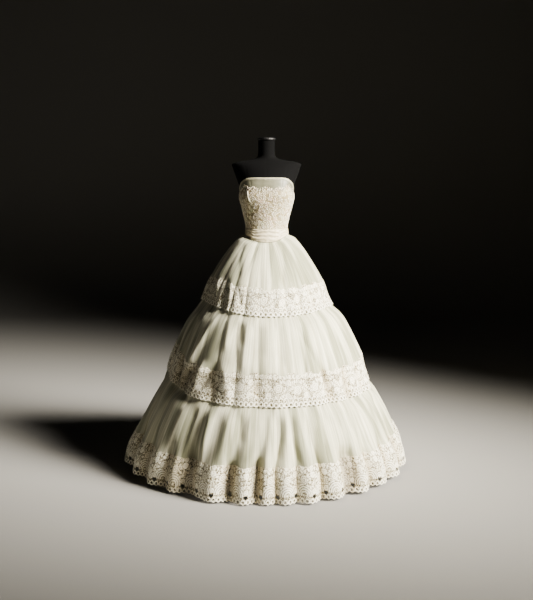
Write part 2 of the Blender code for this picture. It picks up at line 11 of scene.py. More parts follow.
import bmesh
import bpy
import numpy as np
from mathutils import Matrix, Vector


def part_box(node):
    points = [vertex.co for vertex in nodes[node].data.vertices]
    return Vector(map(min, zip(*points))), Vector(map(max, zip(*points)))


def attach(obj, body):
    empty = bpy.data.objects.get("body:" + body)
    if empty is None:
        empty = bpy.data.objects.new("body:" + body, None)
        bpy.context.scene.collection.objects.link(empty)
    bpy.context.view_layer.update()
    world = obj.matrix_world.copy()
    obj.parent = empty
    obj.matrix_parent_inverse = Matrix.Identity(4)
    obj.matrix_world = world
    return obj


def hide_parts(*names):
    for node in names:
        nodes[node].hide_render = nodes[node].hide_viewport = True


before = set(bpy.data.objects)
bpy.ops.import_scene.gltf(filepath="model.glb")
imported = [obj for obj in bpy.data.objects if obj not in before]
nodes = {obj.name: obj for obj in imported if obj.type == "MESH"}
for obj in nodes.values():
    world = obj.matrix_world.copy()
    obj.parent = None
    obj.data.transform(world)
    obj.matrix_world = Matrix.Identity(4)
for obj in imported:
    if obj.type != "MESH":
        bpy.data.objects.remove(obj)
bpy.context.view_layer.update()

# %% [markdown]
# ## The form under the dress
# A dress form is a padded torso on a pole. Its surface is known from level sections: how wide it
# is, and how deep in front and behind. A smooth curve through the sections gives every height
# between them, and two soft swellings add the bust. The bodice is shaped on this surface, so the
# same numbers serve both.

# %% The form's sections and the lines drawn on it
def rows_of(kind, *rows):
    """Rows of one kind, such as the sections of a form, from their plain values."""
    return tuple(kind(*row) for row in rows)


Section = namedtuple("Section", "height half_width front back")
FORM_SECTIONS = rows_of(
    Section,
    (0.880, 0.148, 0.104, 0.122), (0.930, 0.154, 0.107, 0.124), (1.000, 0.146, 0.103, 0.114),
    (1.050, 0.124, 0.095, 0.100), (1.090, 0.106, 0.086, 0.089), (1.138, 0.0965, 0.079, 0.083),
    (1.172, 0.0995, 0.082, 0.085), (1.210, 0.1085, 0.092, 0.090), (1.249, 0.1185, 0.107, 0.095),
    (1.287, 0.1285, 0.118, 0.098), (1.325, 0.1265, 0.119, 0.101), (1.363, 0.138, 0.105, 0.102),
    (1.400, 0.151, 0.090, 0.098), (1.430, 0.161, 0.076, 0.085), (1.450, 0.164, 0.061, 0.066),
    (1.460, 0.132, 0.052, 0.055), (1.468, 0.084, 0.046, 0.050), (1.476, 0.054, 0.042, 0.046),
    (1.490, 0.041, 0.039, 0.042), (1.560, 0.039, 0.037, 0.040),
)
BUST_ANGLE, BUST_HEIGHT, BUST_RISE = 36.0, 1.300, 0.012
BUST_WIDTH, BUST_TALL = 20.0, 0.045

Line = namedtuple("Line", "angle height")
WAIST_SEAM = rows_of(
    Line,
    (0, 1.077), (20, 1.081), (40, 1.092), (60, 1.105), (90, 1.116), (180, 1.118),
)
BAND_TOP = rows_of(Line, (0, 1.138), (60, 1.142), (90, 1.145), (180, 1.148))
NECKLINE = rows_of(
    Line,
    (0, 1.381), (28, 1.381), (42, 1.377), (58, 1.362), (74, 1.342), (92, 1.329), (130, 1.320),
    (180, 1.318),
)
print("neckline at", NECKLINE[0].height, "m, waist seam at", WAIST_SEAM[0].height, "m in front")

# %% [markdown]
# ### Curves through the tables
# A cutter fairs a line through a few measured points. The same is done here, so that each table
# can be read between its rows, and the form's surface and its outward direction follow.

# %% Read the tables and shape the form
def ease(share):
    """A share from 0 to 1 with soft ends."""
    share = np.clip(share, 0.0, 1.0)
    return share * share * (3.0 - 2.0 * share)


def between(start, end, share):
    """The value that lies this share of the way from start to end."""
    return start + (end - start) * share


def wrapped(angle):
    """The same angle between -180 and 180."""
    return (angle + 180.0) % 360.0 - 180.0


def read(table, column, at):
    """Reads a column of a table on a smooth curve through its rows, by the first column."""
    places = np.array([row[0] for row in table], float)
    values = np.array([getattr(row, column) for row in table], float)
    at = np.clip(at, places[0], places[-1])
    here = np.clip(np.searchsorted(places, at, side="right") - 1, 0, len(places) - 2)
    rows = np.arange(len(places))
    before, after = np.maximum(rows - 1, 0), np.minimum(rows + 1, len(places) - 1)
    slopes = (values[after] - values[before]) / (places[after] - places[before])
    length = places[here + 1] - places[here]
    share = (at - places[here]) / length
    leaving = slopes[here] * length * share * (1.0 - share) ** 2
    arriving = slopes[here + 1] * length * share**2 * (share - 1.0)
    return between(values[here], values[here + 1], ease(share)) + leaving + arriving


def form_point(angle, height):
    """Points of the form's surface, for arrays of angles and heights."""
    turn = np.radians(angle)
    off_bust = (np.abs(wrapped(angle)) - BUST_ANGLE) / BUST_WIDTH
    above_bust = (height - BUST_HEIGHT) / BUST_TALL
    bust = BUST_RISE * np.exp(-(off_bust**2) - above_bust**2)
    half_width = read(FORM_SECTIONS, "half_width", height) + bust
    in_front = read(FORM_SECTIONS, "front", height)
    behind = read(FORM_SECTIONS, "back", height)
    depth = np.where(np.cos(turn) > 0, in_front, behind) + bust
    return np.stack([half_width * np.sin(turn), -depth * np.cos(turn), height + 0 * angle], -1)


def line_height(line, angle):
    return read(line, "height", np.abs(wrapped(angle)))


def unit(vectors):
    return vectors / np.maximum(np.linalg.norm(vectors, axis=-1, keepdims=True), 1e-12)


def normal_of(surface, angle, height, turn_step=0.25, height_step=0.001):
    """The direction that points out of a surface at each place."""
    along = surface(angle + turn_step, height) - surface(angle - turn_step, height)
    up = surface(angle, height + height_step) - surface(angle, height - height_step)
    return unit(np.cross(along, up))


def grid_normals(points, u, v, across, up):
    """The direction that points out of a grid at each of its points, from its neighbours."""
    column, row = np.rint(u * across).astype(int), np.rint(v * up).astype(int)
    grid = np.empty((up + 1, across + 1, 3))
    grid[row, column] = points
    normals = unit(np.cross(np.gradient(grid, axis=1), np.gradient(grid, axis=0)))
    return normals[row, column]


print("waist is", round(float(2 * read(FORM_SECTIONS, "half_width", 1.138)), 3), "m wide")

# %% [markdown]
# ## The skirt's shape
# The skirt is a bell, gathered at the waist and stiff enough to stand out. One table gives its
# outline as rings. Its tiers don't end level: the flounces rise towards the sides, where the skirt
# is lifted, by the metres in the second table.

# %% The skirt's outline and the flounces' rise
Ring = namedtuple("Ring", "height radius")
SKIRT_OUTLINE = rows_of(
    Ring,
    (0.000, 0.698), (0.032, 0.694), (0.110, 0.674), (0.186, 0.632), (0.263, 0.592),
    (0.339, 0.548), (0.400, 0.512), (0.455, 0.492), (0.494, 0.480), (0.533, 0.468),
    (0.611, 0.431), (0.688, 0.391), (0.727, 0.366), (0.766, 0.334), (0.804, 0.312),
    (0.882, 0.282), (0.959, 0.239), (1.037, 0.187), (1.075, 0.156), (1.095, 0.137),
    (1.116, 0.110),
)
WAIST_HEIGHT = 1.116
WAIST_LIFT = 0.0022
DROP_TO_ROUND, DROP_TO_LEVEL, DROP_TO_FLARE = 0.30, 0.25, 0.018

Rise = namedtuple("Rise", "angle first second third")
RISES = rows_of(
    Rise,
    (-180, 0.018, 0.030, 0.006), (-120, 0.045, 0.070, 0.014), (-90, 0.046, 0.085, 0.018),
    (-58, 0.038, 0.034, 0.010), (-30, 0.017, 0.008, 0.004), (0, 0.000, 0.000, 0.000),
    (30, 0.004, 0.000, 0.006), (60, 0.018, 0.002, 0.014), (90, 0.016, 0.022, 0.022),
    (120, 0.020, 0.030, 0.016), (180, 0.018, 0.030, 0.006),
)

print("skirt:", len(SKIRT_OUTLINE), "rings,", SKIRT_OUTLINE[0].radius, "m in radius at the hem")

# %% [markdown]
# ### The main folds
# Gathered cloth hangs in folds whose crests are round and whose valleys are tight, and no two are
# alike. Each row is one crest: its angle, how far it stands out, how far the valley after it
# stays out, and for a few a breadth of their own, larger where a narrow crest stands between
# wide valleys. The front follows what is seen, and the sides and back go on in the same manner.

# %% The main folds of the three tiers
CREST_BREADTH = 0.45
Fold = namedtuple("Fold", "angle crest valley breadth", defaults=(CREST_BREADTH,))
FIRST_FOLDS = rows_of(
    Fold,
    (-170, 0.9, 0.1), (-150, 1.0, 0.3), (-129, 0.8, 0.0), (-106, 1.0, 0.2), (-82, 0.9, 0.1),
    (-61, 1.0, 0.0), (-38, 0.9, 0.1), (-24, 1.0, 0.2), (-12, 0.8, 0.4), (1, 0.9, 0.5),
    (11, 0.8, 0.3), (23, 1.0, 0.2), (37, 0.9, 0.3), (51, 1.0, 0.2), (72, 0.9, 0.1),
    (92, 1.0, 0.2), (111, 0.8, 0.0), (131, 1.0, 0.2), (152, 0.9, 0.1),
)
SECOND_FOLDS = rows_of(
    Fold,
    (-166, 1.0, 0.1), (-148, 0.9, 0.2), (-128, 1.0, 0.0), (-107, 0.8, 0.2), (-86, 1.0, 0.0),
    (-68, 0.8, 0.1), (-51, 0.9, 0.3), (-36, 1.0, 0.45), (-22.5, 1.0, 0.3), (-11, 0.9, 0.5),
    (3, 0.9, 0.6), (17, 1.0, 0.5), (26, 1.0, 0.0), (41, 1.0, 0.3), (56, 0.9, 0.2), (71, 1.0, 0.1),
    (90, 0.9, 0.1), (108, 1.0, 0.3), (126, 0.8, 0.0), (144, 1.0, 0.2), (161, 0.9, 0.1),
    (178, 1.0, 0.2),
)
HEM_FOLDS = rows_of(
    Fold,
    (-163, 1.0, 0.1), (-147, 0.9, 0.2), (-131, 1.0, 0.0), (-114, 0.9, 0.2), (-97, 1.0, 0.1),
    (-80, 1.0, 0.1), (-63, 0.9, 0.2, 1.2), (-50, 0.8, 0.2, 1.0), (-38, 1.0, 0.0, 1.5),
    (-20.5, 1.0, 0.2, 0.8), (-8, 0.9, 0.3, 0.8), (-0.5, 0.8, 0.3), (7, 0.9, 0.3, 0.7),
    (15.5, 1.0, 0.1), (26.5, 1.0, 0.0, 0.8), (38.5, 1.0, 0.2, 0.7), (49.5, 0.9, 0.1),
    (61, 1.0, 0.1), (75, 0.9, 0.0), (99, 1.0, 0.1), (115, 0.9, 0.2), (131, 1.0, 0.0),
    (147, 0.8, 0.2), (164, 1.0, 0.1), (181, 0.9, 0.1),
)

print("crests:", len(FIRST_FOLDS), len(SECOND_FOLDS), len(HEM_FOLDS))

# %% [markdown]
# ### Single ridges and creases
# A dresser pulls single folds out of the gathers, and a crushed net keeps creases. Each row is a
# line that leans from a foot to a top, with how far it stands out in metres, or in with a minus,
# and how wide it is in degrees.

# %% The listed ridges and creases
Ridge = namedtuple("Ridge", "foot_angle foot top_angle top out width")
RIDGES = {
    "first": rows_of(
        Ridge,
        (-32.5, 0.985, -39.5, 1.075, 0.0040, 5.0), (-30.0, 0.920, -45.5, 1.062, -0.0035, 4.0),
        (-20.0, 0.990, -18.5, 1.066, -0.0035, 4.0), (2.5, 0.890, 12.5, 1.054, 0.0040, 5.0),
        (13.0, 0.874, 30.5, 1.060, -0.0045, 3.5), (27.5, 0.914, 45.0, 1.060, 0.0040, 7.0),
        (46.0, 0.890, 56.0, 1.042, -0.0040, 5.0), (-50.0, 0.790, -54.0, 0.910, 0.0090, 3.4),
        (-40.0, 0.780, -43.0, 0.905, -0.0090, 3.0), (-32.0, 0.760, -35.0, 0.905, 0.0070, 4.0),
        (-22.0, 0.800, -27.0, 0.880, -0.0060, 3.0), (7.0, 0.780, 14.0, 0.860, 0.0060, 4.0),
        (24.0, 0.800, 18.0, 0.860, -0.0060, 3.0),
    ),
    "second": rows_of(
        Ridge,
        (-16.5, 0.637, -19.0, 0.741, -0.0065, 2.6), (-13.0, 0.540, -13.0, 0.745, 0.0065, 2.6),
        (1.0, 0.610, 2.5, 0.745, 0.0050, 4.0), (8.0, 0.560, 10.0, 0.755, -0.0075, 2.4),
        (31.0, 0.520, 21.5, 0.710, -0.0060, 2.0), (-50.0, 0.540, -40.0, 0.755, 0.0110, 3.2),
        (-25.5, 0.620, -26.5, 0.745, 0.0060, 2.8), (-36.5, 0.440, -31.0, 0.545, -0.0110, 3.0),
        (37.0, 0.390, 32.5, 0.520, -0.0120, 2.4), (-44.0, 0.385, -38.5, 0.545, 0.0160, 3.0),
        (-52.5, 0.385, -48.0, 0.520, -0.0200, 4.0), (-20.0, 0.400, -23.5, 0.540, 0.0080, 3.4),
        (-5.0, 0.430, -9.0, 0.530, -0.0050, 2.4), (14.0, 0.420, 10.0, 0.530, 0.0050, 3.4),
    ),
    "third": rows_of(
        Ridge,
        (-37.0, 0.000, -36.0, 0.400, -0.0200, 6.0), (-26.5, 0.000, -27.0, 0.400, 0.0150, 2.6),
        (-46.5, 0.060, -43.0, 0.375, 0.0120, 3.0), (-35.5, 0.170, -34.0, 0.380, 0.0060, 1.6),
        (-18.0, 0.160, -17.0, 0.375, 0.0090, 2.4), (-11.0, 0.250, -12.5, 0.365, -0.0070, 1.6),
        (-9.0, 0.190, -7.0, 0.375, 0.0060, 1.8), (-0.5, 0.160, 2.0, 0.372, 0.0075, 2.0),
        (4.0, 0.190, 4.5, 0.378, -0.0075, 1.6), (8.5, 0.250, 9.5, 0.380, 0.0070, 1.6),
        (10.5, 0.270, 11.5, 0.372, -0.0080, 1.4), (13.5, 0.150, 10.0, 0.275, -0.0080, 1.6),
        (33.0, 0.200, 32.5, 0.375, 0.0080, 2.4), (35.8, 0.030, 36.5, 0.190, -0.0200, 2.2),
        (24.0, 0.030, 24.0, 0.170, 0.0080, 2.6), (47.0, 0.030, 46.0, 0.190, 0.0100, 2.4),
        (-3.5, 0.030, -3.5, 0.175, -0.0180, 2.0), (-14.0, 0.030, -15.0, 0.160, -0.0180, 2.4),
    ),
}

print("ridges and creases:", sum(len(rows) for rows in RIDGES.values()))

# %% [markdown]
# ### The tiers
# A tier is a net and the flounce at its foot. Its folds deepen from head to hem. Lace that is
# sewn on flat pulls the folds flatter behind it, more so at the front. Between the main folds lie
# finer gathers of three sizes and, in the two upper flounces, puckers.

# %% The tiers and their finer gathers
Tier = namedtuple(
    "Tier", "name folds head_depth hem_depth lace_top lace_hem flat flat_front puckers"
)
TIERS = rows_of(
    Tier,
    ("first", FIRST_FOLDS, 0.003, 0.020, 0.874, 0.754, 0.35, 0.40, 0.0060),
    ("second", SECOND_FOLDS, 0.012, 0.030, 0.520, 0.381, 0.25, 0.55, 0.0070),
    ("third", HEM_FOLDS, 0.020, 0.046, 0.153, 0.005, 0.0, 0.0, 0.0),
)
FOLDS_SETTLE, LACE_CLEARS, LACE_OVER_SEAM, LACE_HANGS_OFF = 0.07, 0.04, 0.030, 0.007

Waves = namedtuple("Waves", "count tall seed")
SMALL_GATHERS = (
    (Waves(26, 0.95, 71), 0.0045),
    (Waves(67, 0.80, 11), 0.0020),
    (Waves(163, 0.50, 21), 0.0007),
)
PUCKERS, SWAY, FADING = Waves(47, 0.40, 61), Waves(17, 0.85, 41), Waves(23, 0.70, 51)
NOISE_ROWS = 64

print("tiers:", *[tier.name for tier in TIERS])

# %% [markdown]
# ### Uneven, but the same each time
# Real gathers never repeat. Smooth noise with a fixed seed makes them uneven in the same way at
# each run. The folds also lean and meet above the hem, and fade by different amounts.

# %% How far the cloth stands out
GATHERS_OPEN, PUCKERS_START, LEANING_OVER, FADING_OVER = 0.16, 0.08, 0.20, 0.11
LEAN, SHALLOW_FOLD = 5.0, 0.62
FRONT_FROM, FRONT_TO, FRONT_SOFT = -34.0, 46.0, 12.0
RIDGE_ENDS, RIDGE_ROUNDNESS, FACT_PER_METRE = 0.05, 1.6, 40


def drift(angle, height, waves, place=0):
    """Smooth noise from -1 to 1, with so many waves round the body, each about this tall."""
    chance = np.random.default_rng(waves.seed + place)
    knots = chance.uniform(-1.0, 1.0, (NOISE_ROWS, waves.count))
    across, up = angle / 360.0 * waves.count, height / waves.tall + 8.0
    column, row = np.floor(across).astype(int), np.floor(up).astype(int)
    share, top = ease(across - column), ease(up - row)
    here, beside = column % waves.count, (column + 1) % waves.count
    row, above = row % NOISE_ROWS, (row + 1) % NOISE_ROWS
    low = between(knots[row, here], knots[row, beside], share)
    high = between(knots[above, here], knots[above, beside], share)
    return between(low, high, top)


def hem_rise(tier, angle):
    return read(RISES, tier.name, wrapped(angle))


def lace_top(tier, angle):
    return tier.lace_top + hem_rise(tier, angle)


def lace_hem(tier, angle):
    return tier.lace_hem + hem_rise(tier, angle)


def seam_below(tier, angle):
    """The seam behind a flounce, where a tier's net ends and the next one starts."""
    return lace_top(tier, angle) - LACE_OVER_SEAM


def fold_height(folds, angle):
    """How far out the cloth stands: 1 on a full crest and 0 in a full valley."""
    starts = np.array([fold.angle for fold in folds], float)
    crests = np.array([fold.crest for fold in folds])
    valleys = np.array([fold.valley for fold in folds])
    angle = (angle - starts[0]) % 360.0 + starts[0]
    here = np.searchsorted(starts, angle, side="right") - 1
    after = (here + 1) % len(folds)
    share = (angle - starts[here]) / ((starts[after] - starts[here]) % 360.0)
    crest = np.where(share < 0.5, crests[here], crests[after])
    breadth = np.array([fold.breadth for fold in folds])
    swing = (0.5 + 0.5 * np.cos(2.0 * np.pi * share)) ** breadth[here]
    return between(valleys[here], crest, swing)


def small_folds(tier, angle, height):
    """The finer gathers between the main folds, in metres outwards."""
    place = TIERS.index(tier)
    drop = ease((WAIST_HEIGHT - 0.01 - height) / GATHERS_OPEN)
    gathers = 0.0
    for waves, reach in SMALL_GATHERS:
        gathers = gathers + drift(angle, height, waves, place) * reach
    puckers = drift(angle, height, PUCKERS, place) * tier.puckers
    hanging = ease((lace_top(tier, angle) + 0.02 - height) / PUCKERS_START)
    return gathers * drop + puckers * hanging


def folds_wander(tier, angle, height):
    """The angle whose fold a place belongs to: folds lean and meet above the hem."""
    above = ease((height - lace_top(tier, angle) + 0.03) / LEANING_OVER)
    return angle + LEAN * drift(angle, height, SWAY, TIERS.index(tier)) * above


def fold_share(tier, angle, height):
    """How far out a place stands on the main folds, which fade unevenly towards the head."""
    full = fold_height(tier.folds, folds_wander(tier, angle, height))
    above = ease((height - lace_top(tier, angle) + 0.02) / FADING_OVER)
    faded = 0.45 + 0.22 * drift(angle, height, FADING, TIERS.index(tier))
    from_right, from_left = angle - FRONT_FROM, FRONT_TO - angle
    in_front = ease(from_right / FRONT_SOFT) * ease(from_left / FRONT_SOFT)
    shallow = between(tier.flat + tier.flat_front * in_front, faded * 1.6, above)
    return between(full, SHALLOW_FOLD + (1.0 - SHALLOW_FOLD) * full, shallow)


def pinned_folds(tier, angle, height):
    """The listed ridges and creases, in metres outwards."""
    out = 0.0 * angle * height
    for ridge in RIDGES[tier.name]:
        path = np.interp(height, (ridge.foot, ridge.top), (ridge.foot_angle, ridge.top_angle))
        off = wrapped(angle - path) / ridge.width
        starts = ease((height - ridge.foot) / RIDGE_ENDS + 0.5)
        stops = ease((ridge.top - height) / RIDGE_ENDS + 0.5)
        out = out + ridge.out * np.exp(-np.abs(off) ** RIDGE_ROUNDNESS) * (starts * stops)
    return out


def fold_fact(tier, angle, height):
    """How far out the cloth stands, for the painted shade of its material: near 0 in a crease and 1
    on a ridge.
    """
    small = small_folds(tier, angle, height) + pinned_folds(tier, angle, height)
    return fold_share(tier, angle, height) + small * FACT_PER_METRE


# %% [markdown]
# ### The surfaces of net and lace
# Near the waist seam the skirt takes the form's own section and it grows round on its way down.
# A tier's head hides behind the flounce above, keeps that flounce's folds there, and finds its
# own folds below it.

# %% The surface of a tier
def tier_point(tier, angle, height):
    """Points of a tier's own surface: round, flared from the waist, with its folds."""
    place = TIERS.index(tier)
    above = WAIST_HEIGHT if place == 0 else lace_hem(TIERS[place - 1], angle)
    share = ease((above - height) / (above - tier.lace_hem))
    depth = between(tier.head_depth, tier.hem_depth, share)
    seam = line_height(WAIST_SEAM, angle)
    drop = np.maximum(0.0, seam - height)
    level = height + (WAIST_HEIGHT - seam) * (1.0 - ease(drop / DROP_TO_LEVEL))
    radius = read(SKIRT_OUTLINE, "radius", level) - depth * (1.0 - fold_share(tier, angle, height))
    radius = radius + small_folds(tier, angle, height) + pinned_folds(tier, angle, height)
    turn = np.radians(angle)
    front = float(read(FORM_SECTIONS, "front", line_height(WAIST_SEAM, 0.0))) + WAIST_LIFT
    back = float(read(FORM_SECTIONS, "back", line_height(WAIST_SEAM, 180.0))) + WAIST_LIFT
    waist_depth = np.where(np.cos(turn) > 0, front, back)
    ratio = between(waist_depth / SKIRT_OUTLINE[-1].radius, 1.0, ease(drop / DROP_TO_ROUND) ** 0.5)
    deep = radius * ratio
    flared = np.stack([radius * np.sin(turn), -deep * np.cos(turn), height + 0 * angle], -1)
    sewn = form_point(angle, seam)
    level_out = unit(sewn * np.array([1.0, 1.0, 0.0]))
    sewn = sewn + level_out * WAIST_LIFT
    sewn[..., 2] = height
    return between(sewn, flared, ease(drop / DROP_TO_FLARE)[..., None])


def net_surface(tier):
    """The surface of a tier's net. Under the flounce above it keeps that flounce's folds."""
    place = TIERS.index(tier)

    def point(angle, height):
        own = tier_point(tier, angle, height)
        if place == 0:
            return own
        flounce = TIERS[place - 1]
        hem = lace_hem(flounce, angle)
        seam = seam_below(flounce, angle)
        carried = tier_point(flounce, angle, height)
        share = ease((seam - height) / (seam - hem)) - ease((hem - height) / LACE_CLEARS)
        inward = unit(carried * np.array([1.0, 1.0, 0.0])) * (LACE_HANGS_OFF * share)[..., None]
        return between(carried - inward, own, ease((hem - height) / FOLDS_SETTLE)[..., None])

    return point


hem_line = tier_point(TIERS[2], np.linspace(0, 360, 3000), 0.01)
hem_girth = np.linalg.norm(np.diff(hem_line, axis=0), axis=1).sum()
print("the hem measures", round(float(hem_girth), 2), "m along its folds")

# %% [markdown]
# ## Colours and nodes
# Colours are picked as sRGB hex values, as a dyer's card would give them, and turned to the linear
# values that the shaders want. One helper adds a shader node with its settings and links.

# %% The colour and node helpers
def linear(hex_colour):
    """An sRGB hex colour as linear red, green, blue and alpha."""
    channels = [int(hex_colour[place : place + 2], 16) / 255 for place in (1, 3, 5)]
    return (*[c / 12.92 if c <= 0.04045 else ((c + 0.055) / 1.055) ** 2.4 for c in channels], 1.0)


def fill(material, socket, value):
    """Links another node's output to a socket, or sets the socket's own value."""
    if isinstance(value, bpy.types.NodeSocket):
        material.node_tree.links.new(value, socket)
    else:
        socket.default_value = value


def add_node(material, kind, inputs=None, **settings):
    """Adds a node with its settings. An input is a value, or another node's output to link."""
    node = material.node_tree.nodes.new("ShaderNode" + kind)
    for name, value in settings.items():
        setattr(node, name, value)
    for socket, value in (inputs or {}).items():
        fill(material, node.inputs[socket], value)
    return node


def set_shader(material, **inputs):
    """Fills the sockets of a material's Principled shader, with spaces written as underscores."""
    shader = material.node_tree.nodes["Principled BSDF"]
    for name, value in inputs.items():
        fill(material, shader.inputs[name.replace("_", " ")], value)


def new_material(name):
    material = bpy.data.materials.new(name)
    material.use_nodes = True
    print("material:", name)
    return material


def fact(material, name):
    """A fact that the cloth's points carry, as one number."""
    return add_node(material, "Attribute", attribute_name=name).outputs["Fac"]


def cloth_place(material):
    """How far along and up the cloth each point is, in metres."""
    return add_node(material, "Attribute", attribute_name="cloth").outputs["Vector"]


def noise(material, place, scale, detail, roughness=0.5):
    """Noise with so many patches to the metre along the cloth and up it."""
    scaled = add_node(material, "VectorMath", {0: place, 1: (*scale, 1.0)}, operation="MULTIPLY")
    inputs = {"Vector": scaled.outputs[0], "Scale": 1.0, "Detail": detail, "Roughness": roughness}
    return add_node(material, "TexNoise", inputs).outputs["Fac"]


def cells(material, place, size):
    """How far each point lies from the edge of an uneven cell, for cells of this size in metres."""
    inputs = {"Vector": place, "Scale": 1 / size}
    return add_node(material, "TexVoronoi", inputs, feature="DISTANCE_TO_EDGE").outputs["Distance"]


def ramp(material, value, *stops):
    """A colour for each value, from pairs of value and hex colour."""
    node = add_node(material, "ValToRGB", {0: value})
    elements = node.color_ramp.elements
    while len(elements) < len(stops):
        elements.new(0.5)
    for element, (place, colour) in zip(elements, stops):
        element.position = place
        element.color = linear(colour)
    return node.outputs[0]


def mixed(material, share, low, high, way="MULTIPLY"):
    """One colour laid over another in this share."""
    inputs = {0: share, 6: low, 7: high}
    return add_node(material, "Mix", inputs, data_type="RGBA", blend_type=way).outputs[2]


def stretched(material, value, low, high, to_low=0.0, to_high=1.0):
    """A value whose run from low to high is stretched to another run."""
    inputs = {"Value": value, "From Min": low, "From Max": high}
    inputs.update({"To Min": to_low, "To Max": to_high})
    return add_node(material, "MapRange", inputs).outputs[0]


def joined(material, way, first, second):
    """Two values made one, such as by MULTIPLY or MAXIMUM."""
    return add_node(material, "Math", {0: first, 1: second}, operation=way).outputs[0]


def relief(material, height, strength, distance, under=None):
    """Bumps from a height, so many metres tall, on top of other bumps where they are given."""
    inputs = {"Strength": strength, "Distance": distance, "Height": height}
    if under is not None:
        inputs["Normal"] = under
    return add_node(material, "Bump", inputs).outputs[0]


# %% [markdown]
# ## Sheets of cloth
# Every cloth here starts as a flat grid with as many squares as its detail needs. Each point of
# the grid is then carried to its place on the body, as a dresser pins a flat cloth to a form. The
# grid keeps facts about each point for its material: how far along and up the cloth it is in
# metres, how far it stands on a fold, how thick the lace's threads are there, and whether the lace
# is tinted or filled.

# %% The sheet maker
def new_piece(mesh, material):
    """A smooth shaded object for a finished mesh, under the mesh's own name."""
    mesh.shade_smooth()
    mesh.materials.append(material)
    piece = bpy.data.objects.new(mesh.name, mesh)
    bpy.context.scene.collection.objects.link(piece)
    return piece


def as_mesh(name, shape):
    """Turns a finished bmesh shape into a mesh."""
    mesh = bpy.data.meshes.new(name)
    shape.to_mesh(mesh)
    shape.free()
    return mesh


def make_sheet(name, across, up, carry, material):
    """A grid of squares whose points carry(u, v) puts in place. u and v run from 0 to 1."""
    shape = bmesh.new()
    shape.loops.layers.uv.new("OFBake")
    bmesh.ops.create_grid(shape, x_segments=across, y_segments=up, size=0.5, calc_uvs=True)
    mesh = as_mesh(name, shape)
    flat = np.empty(len(mesh.vertices) * 3, np.float32)
    mesh.vertices.foreach_get("co", flat)
    flat = flat.reshape(-1, 3).astype(float)
    flat = (flat - flat.min(0)) / np.maximum(np.ptp(flat, axis=0), 1e-9)
    points, facts = carry(flat[:, 0], flat[:, 1])
    mesh.vertices.foreach_set("co", points.astype(np.float32).ravel())
    for label, values in facts.items():
        kind = "FLOAT_VECTOR" if values.ndim == 2 else "FLOAT"
        field = "vector" if values.ndim == 2 else "value"
        attribute = mesh.attributes.new(label, kind, "POINT")
        attribute.data.foreach_set(field, values.astype(np.float32).ravel())
    return new_piece(mesh, material)


def faces_area(piece):
    mesh = piece.data
    areas = np.empty(len(mesh.polygons), np.float32)
    mesh.polygons.foreach_get("area", areas)
    return float(areas.sum())


def tell(piece):
    """Prints how large a finished piece is."""
    count, area = len(piece.data.polygons), round(faces_area(piece), 3)
    print(f"{piece.name}: {count} faces, {area} square metres")


def place_in_frame(piece, slot, *replaced):
    """Fixes a finished piece to the solid model and hides the solids that it stands for."""
    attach(piece, "root")
    if replaced:
        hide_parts(*replaced)


def even_angles(surface, height_of, start, end, step):
    """Angles whose points lie a step apart along the cloth, and how far along each one is."""
    dense = np.linspace(start, end, 6000)
    points = surface(dense, height_of(dense))
    along = np.concatenate([[0.0], np.cumsum(np.linalg.norm(np.diff(points, axis=0), axis=1))])
    count = max(2, int(round(along[-1] / step)))
    places = np.linspace(0.0, along[-1], count + 1)
    return np.interp(places, along, dense), places


# %% [markdown]
# ## Net
# Bridal net is a fine hexagonal mesh of soft thread. Several gathered layers read as one pale,
# cloudy cloth with upright streaks, where the layers bunch and where they lie single. The holes
# are about 1 mm, too fine to show, so the material draws the streaks instead: bands about 9 mm
# across, with finer ones in them, that run from seam to seam. The valleys of the folds are
# painted darker and warmer, a painted shade for the light that the folds keep from them and for
# the light that reaches them through cloth.

# %% The net material
NET_STREAKS = 110.0


def net_material():
    net = new_material("gathered bridal net")
    place = cloth_place(net)
    streaks = noise(net, place, (NET_STREAKS, 3.0), 5.0, 0.65)
    clouds = noise(net, place, (17.0, 2.6), 2.0)
    threads = noise(net, place, (420.0, 26.0), 3.0)
    cream = ramp(net, streaks, (0.34, "#bcb89d"), (0.50, "#d4d1b9"), (0.64, "#f3efd9"))
    cool = ramp(net, clouds, (0.40, "#989d89"), (0.58, "#fffff8"))
    # Painted shade: the colour turns darker and warmer where the cloth lies in a fold's valley.
    depth = ramp(net, fact(net, "fold"), (0.0, "#a49d90"), (0.28, "#e9e7db"), (0.60, "#ffffff"))
    bunched = relief(net, streaks, 0.5, 0.0012)
    set_shader(
        net, Base_Color=mixed(net, 0.6, mixed(net, 0.8, cream, cool), depth), Roughness=0.85,
        Normal=relief(net, threads, 0.4, 0.0006, bunched), Sheen_Weight=0.25,
        Sheen_Roughness=0.5, Specular_IOR_Level=0.2,
    )
    return net


net = net_material()
print("net streaks are about", round(1000 / NET_STREAKS), "mm across")

# %% [markdown]
# ## The three tiers of net
# Each tier is cut as two wide pieces, front and back, gathered to the edge above it. The squares
# are 3.6 mm wide along the cloth and 6 mm tall, because net folds lengthwise.

# %% Build the net pieces
LEFT_SEAM, RIGHT_SEAM = -88.5, 87.0
NET_SQUARE, NET_ROW, NET_OUT, UNDER_BAND = 0.0036, 0.006, 0.0004, 0.0012
GATHERED_SHARE = 0.80
HALVES = (("front", LEFT_SEAM, RIGHT_SEAM), ("back", RIGHT_SEAM, 360.0 + LEFT_SEAM))


def net_head(tier, angle):
    place = TIERS.index(tier)
    if place == 0:
        return line_height(WAIST_SEAM, angle) - UNDER_BAND
    return seam_below(TIERS[place - 1], angle)


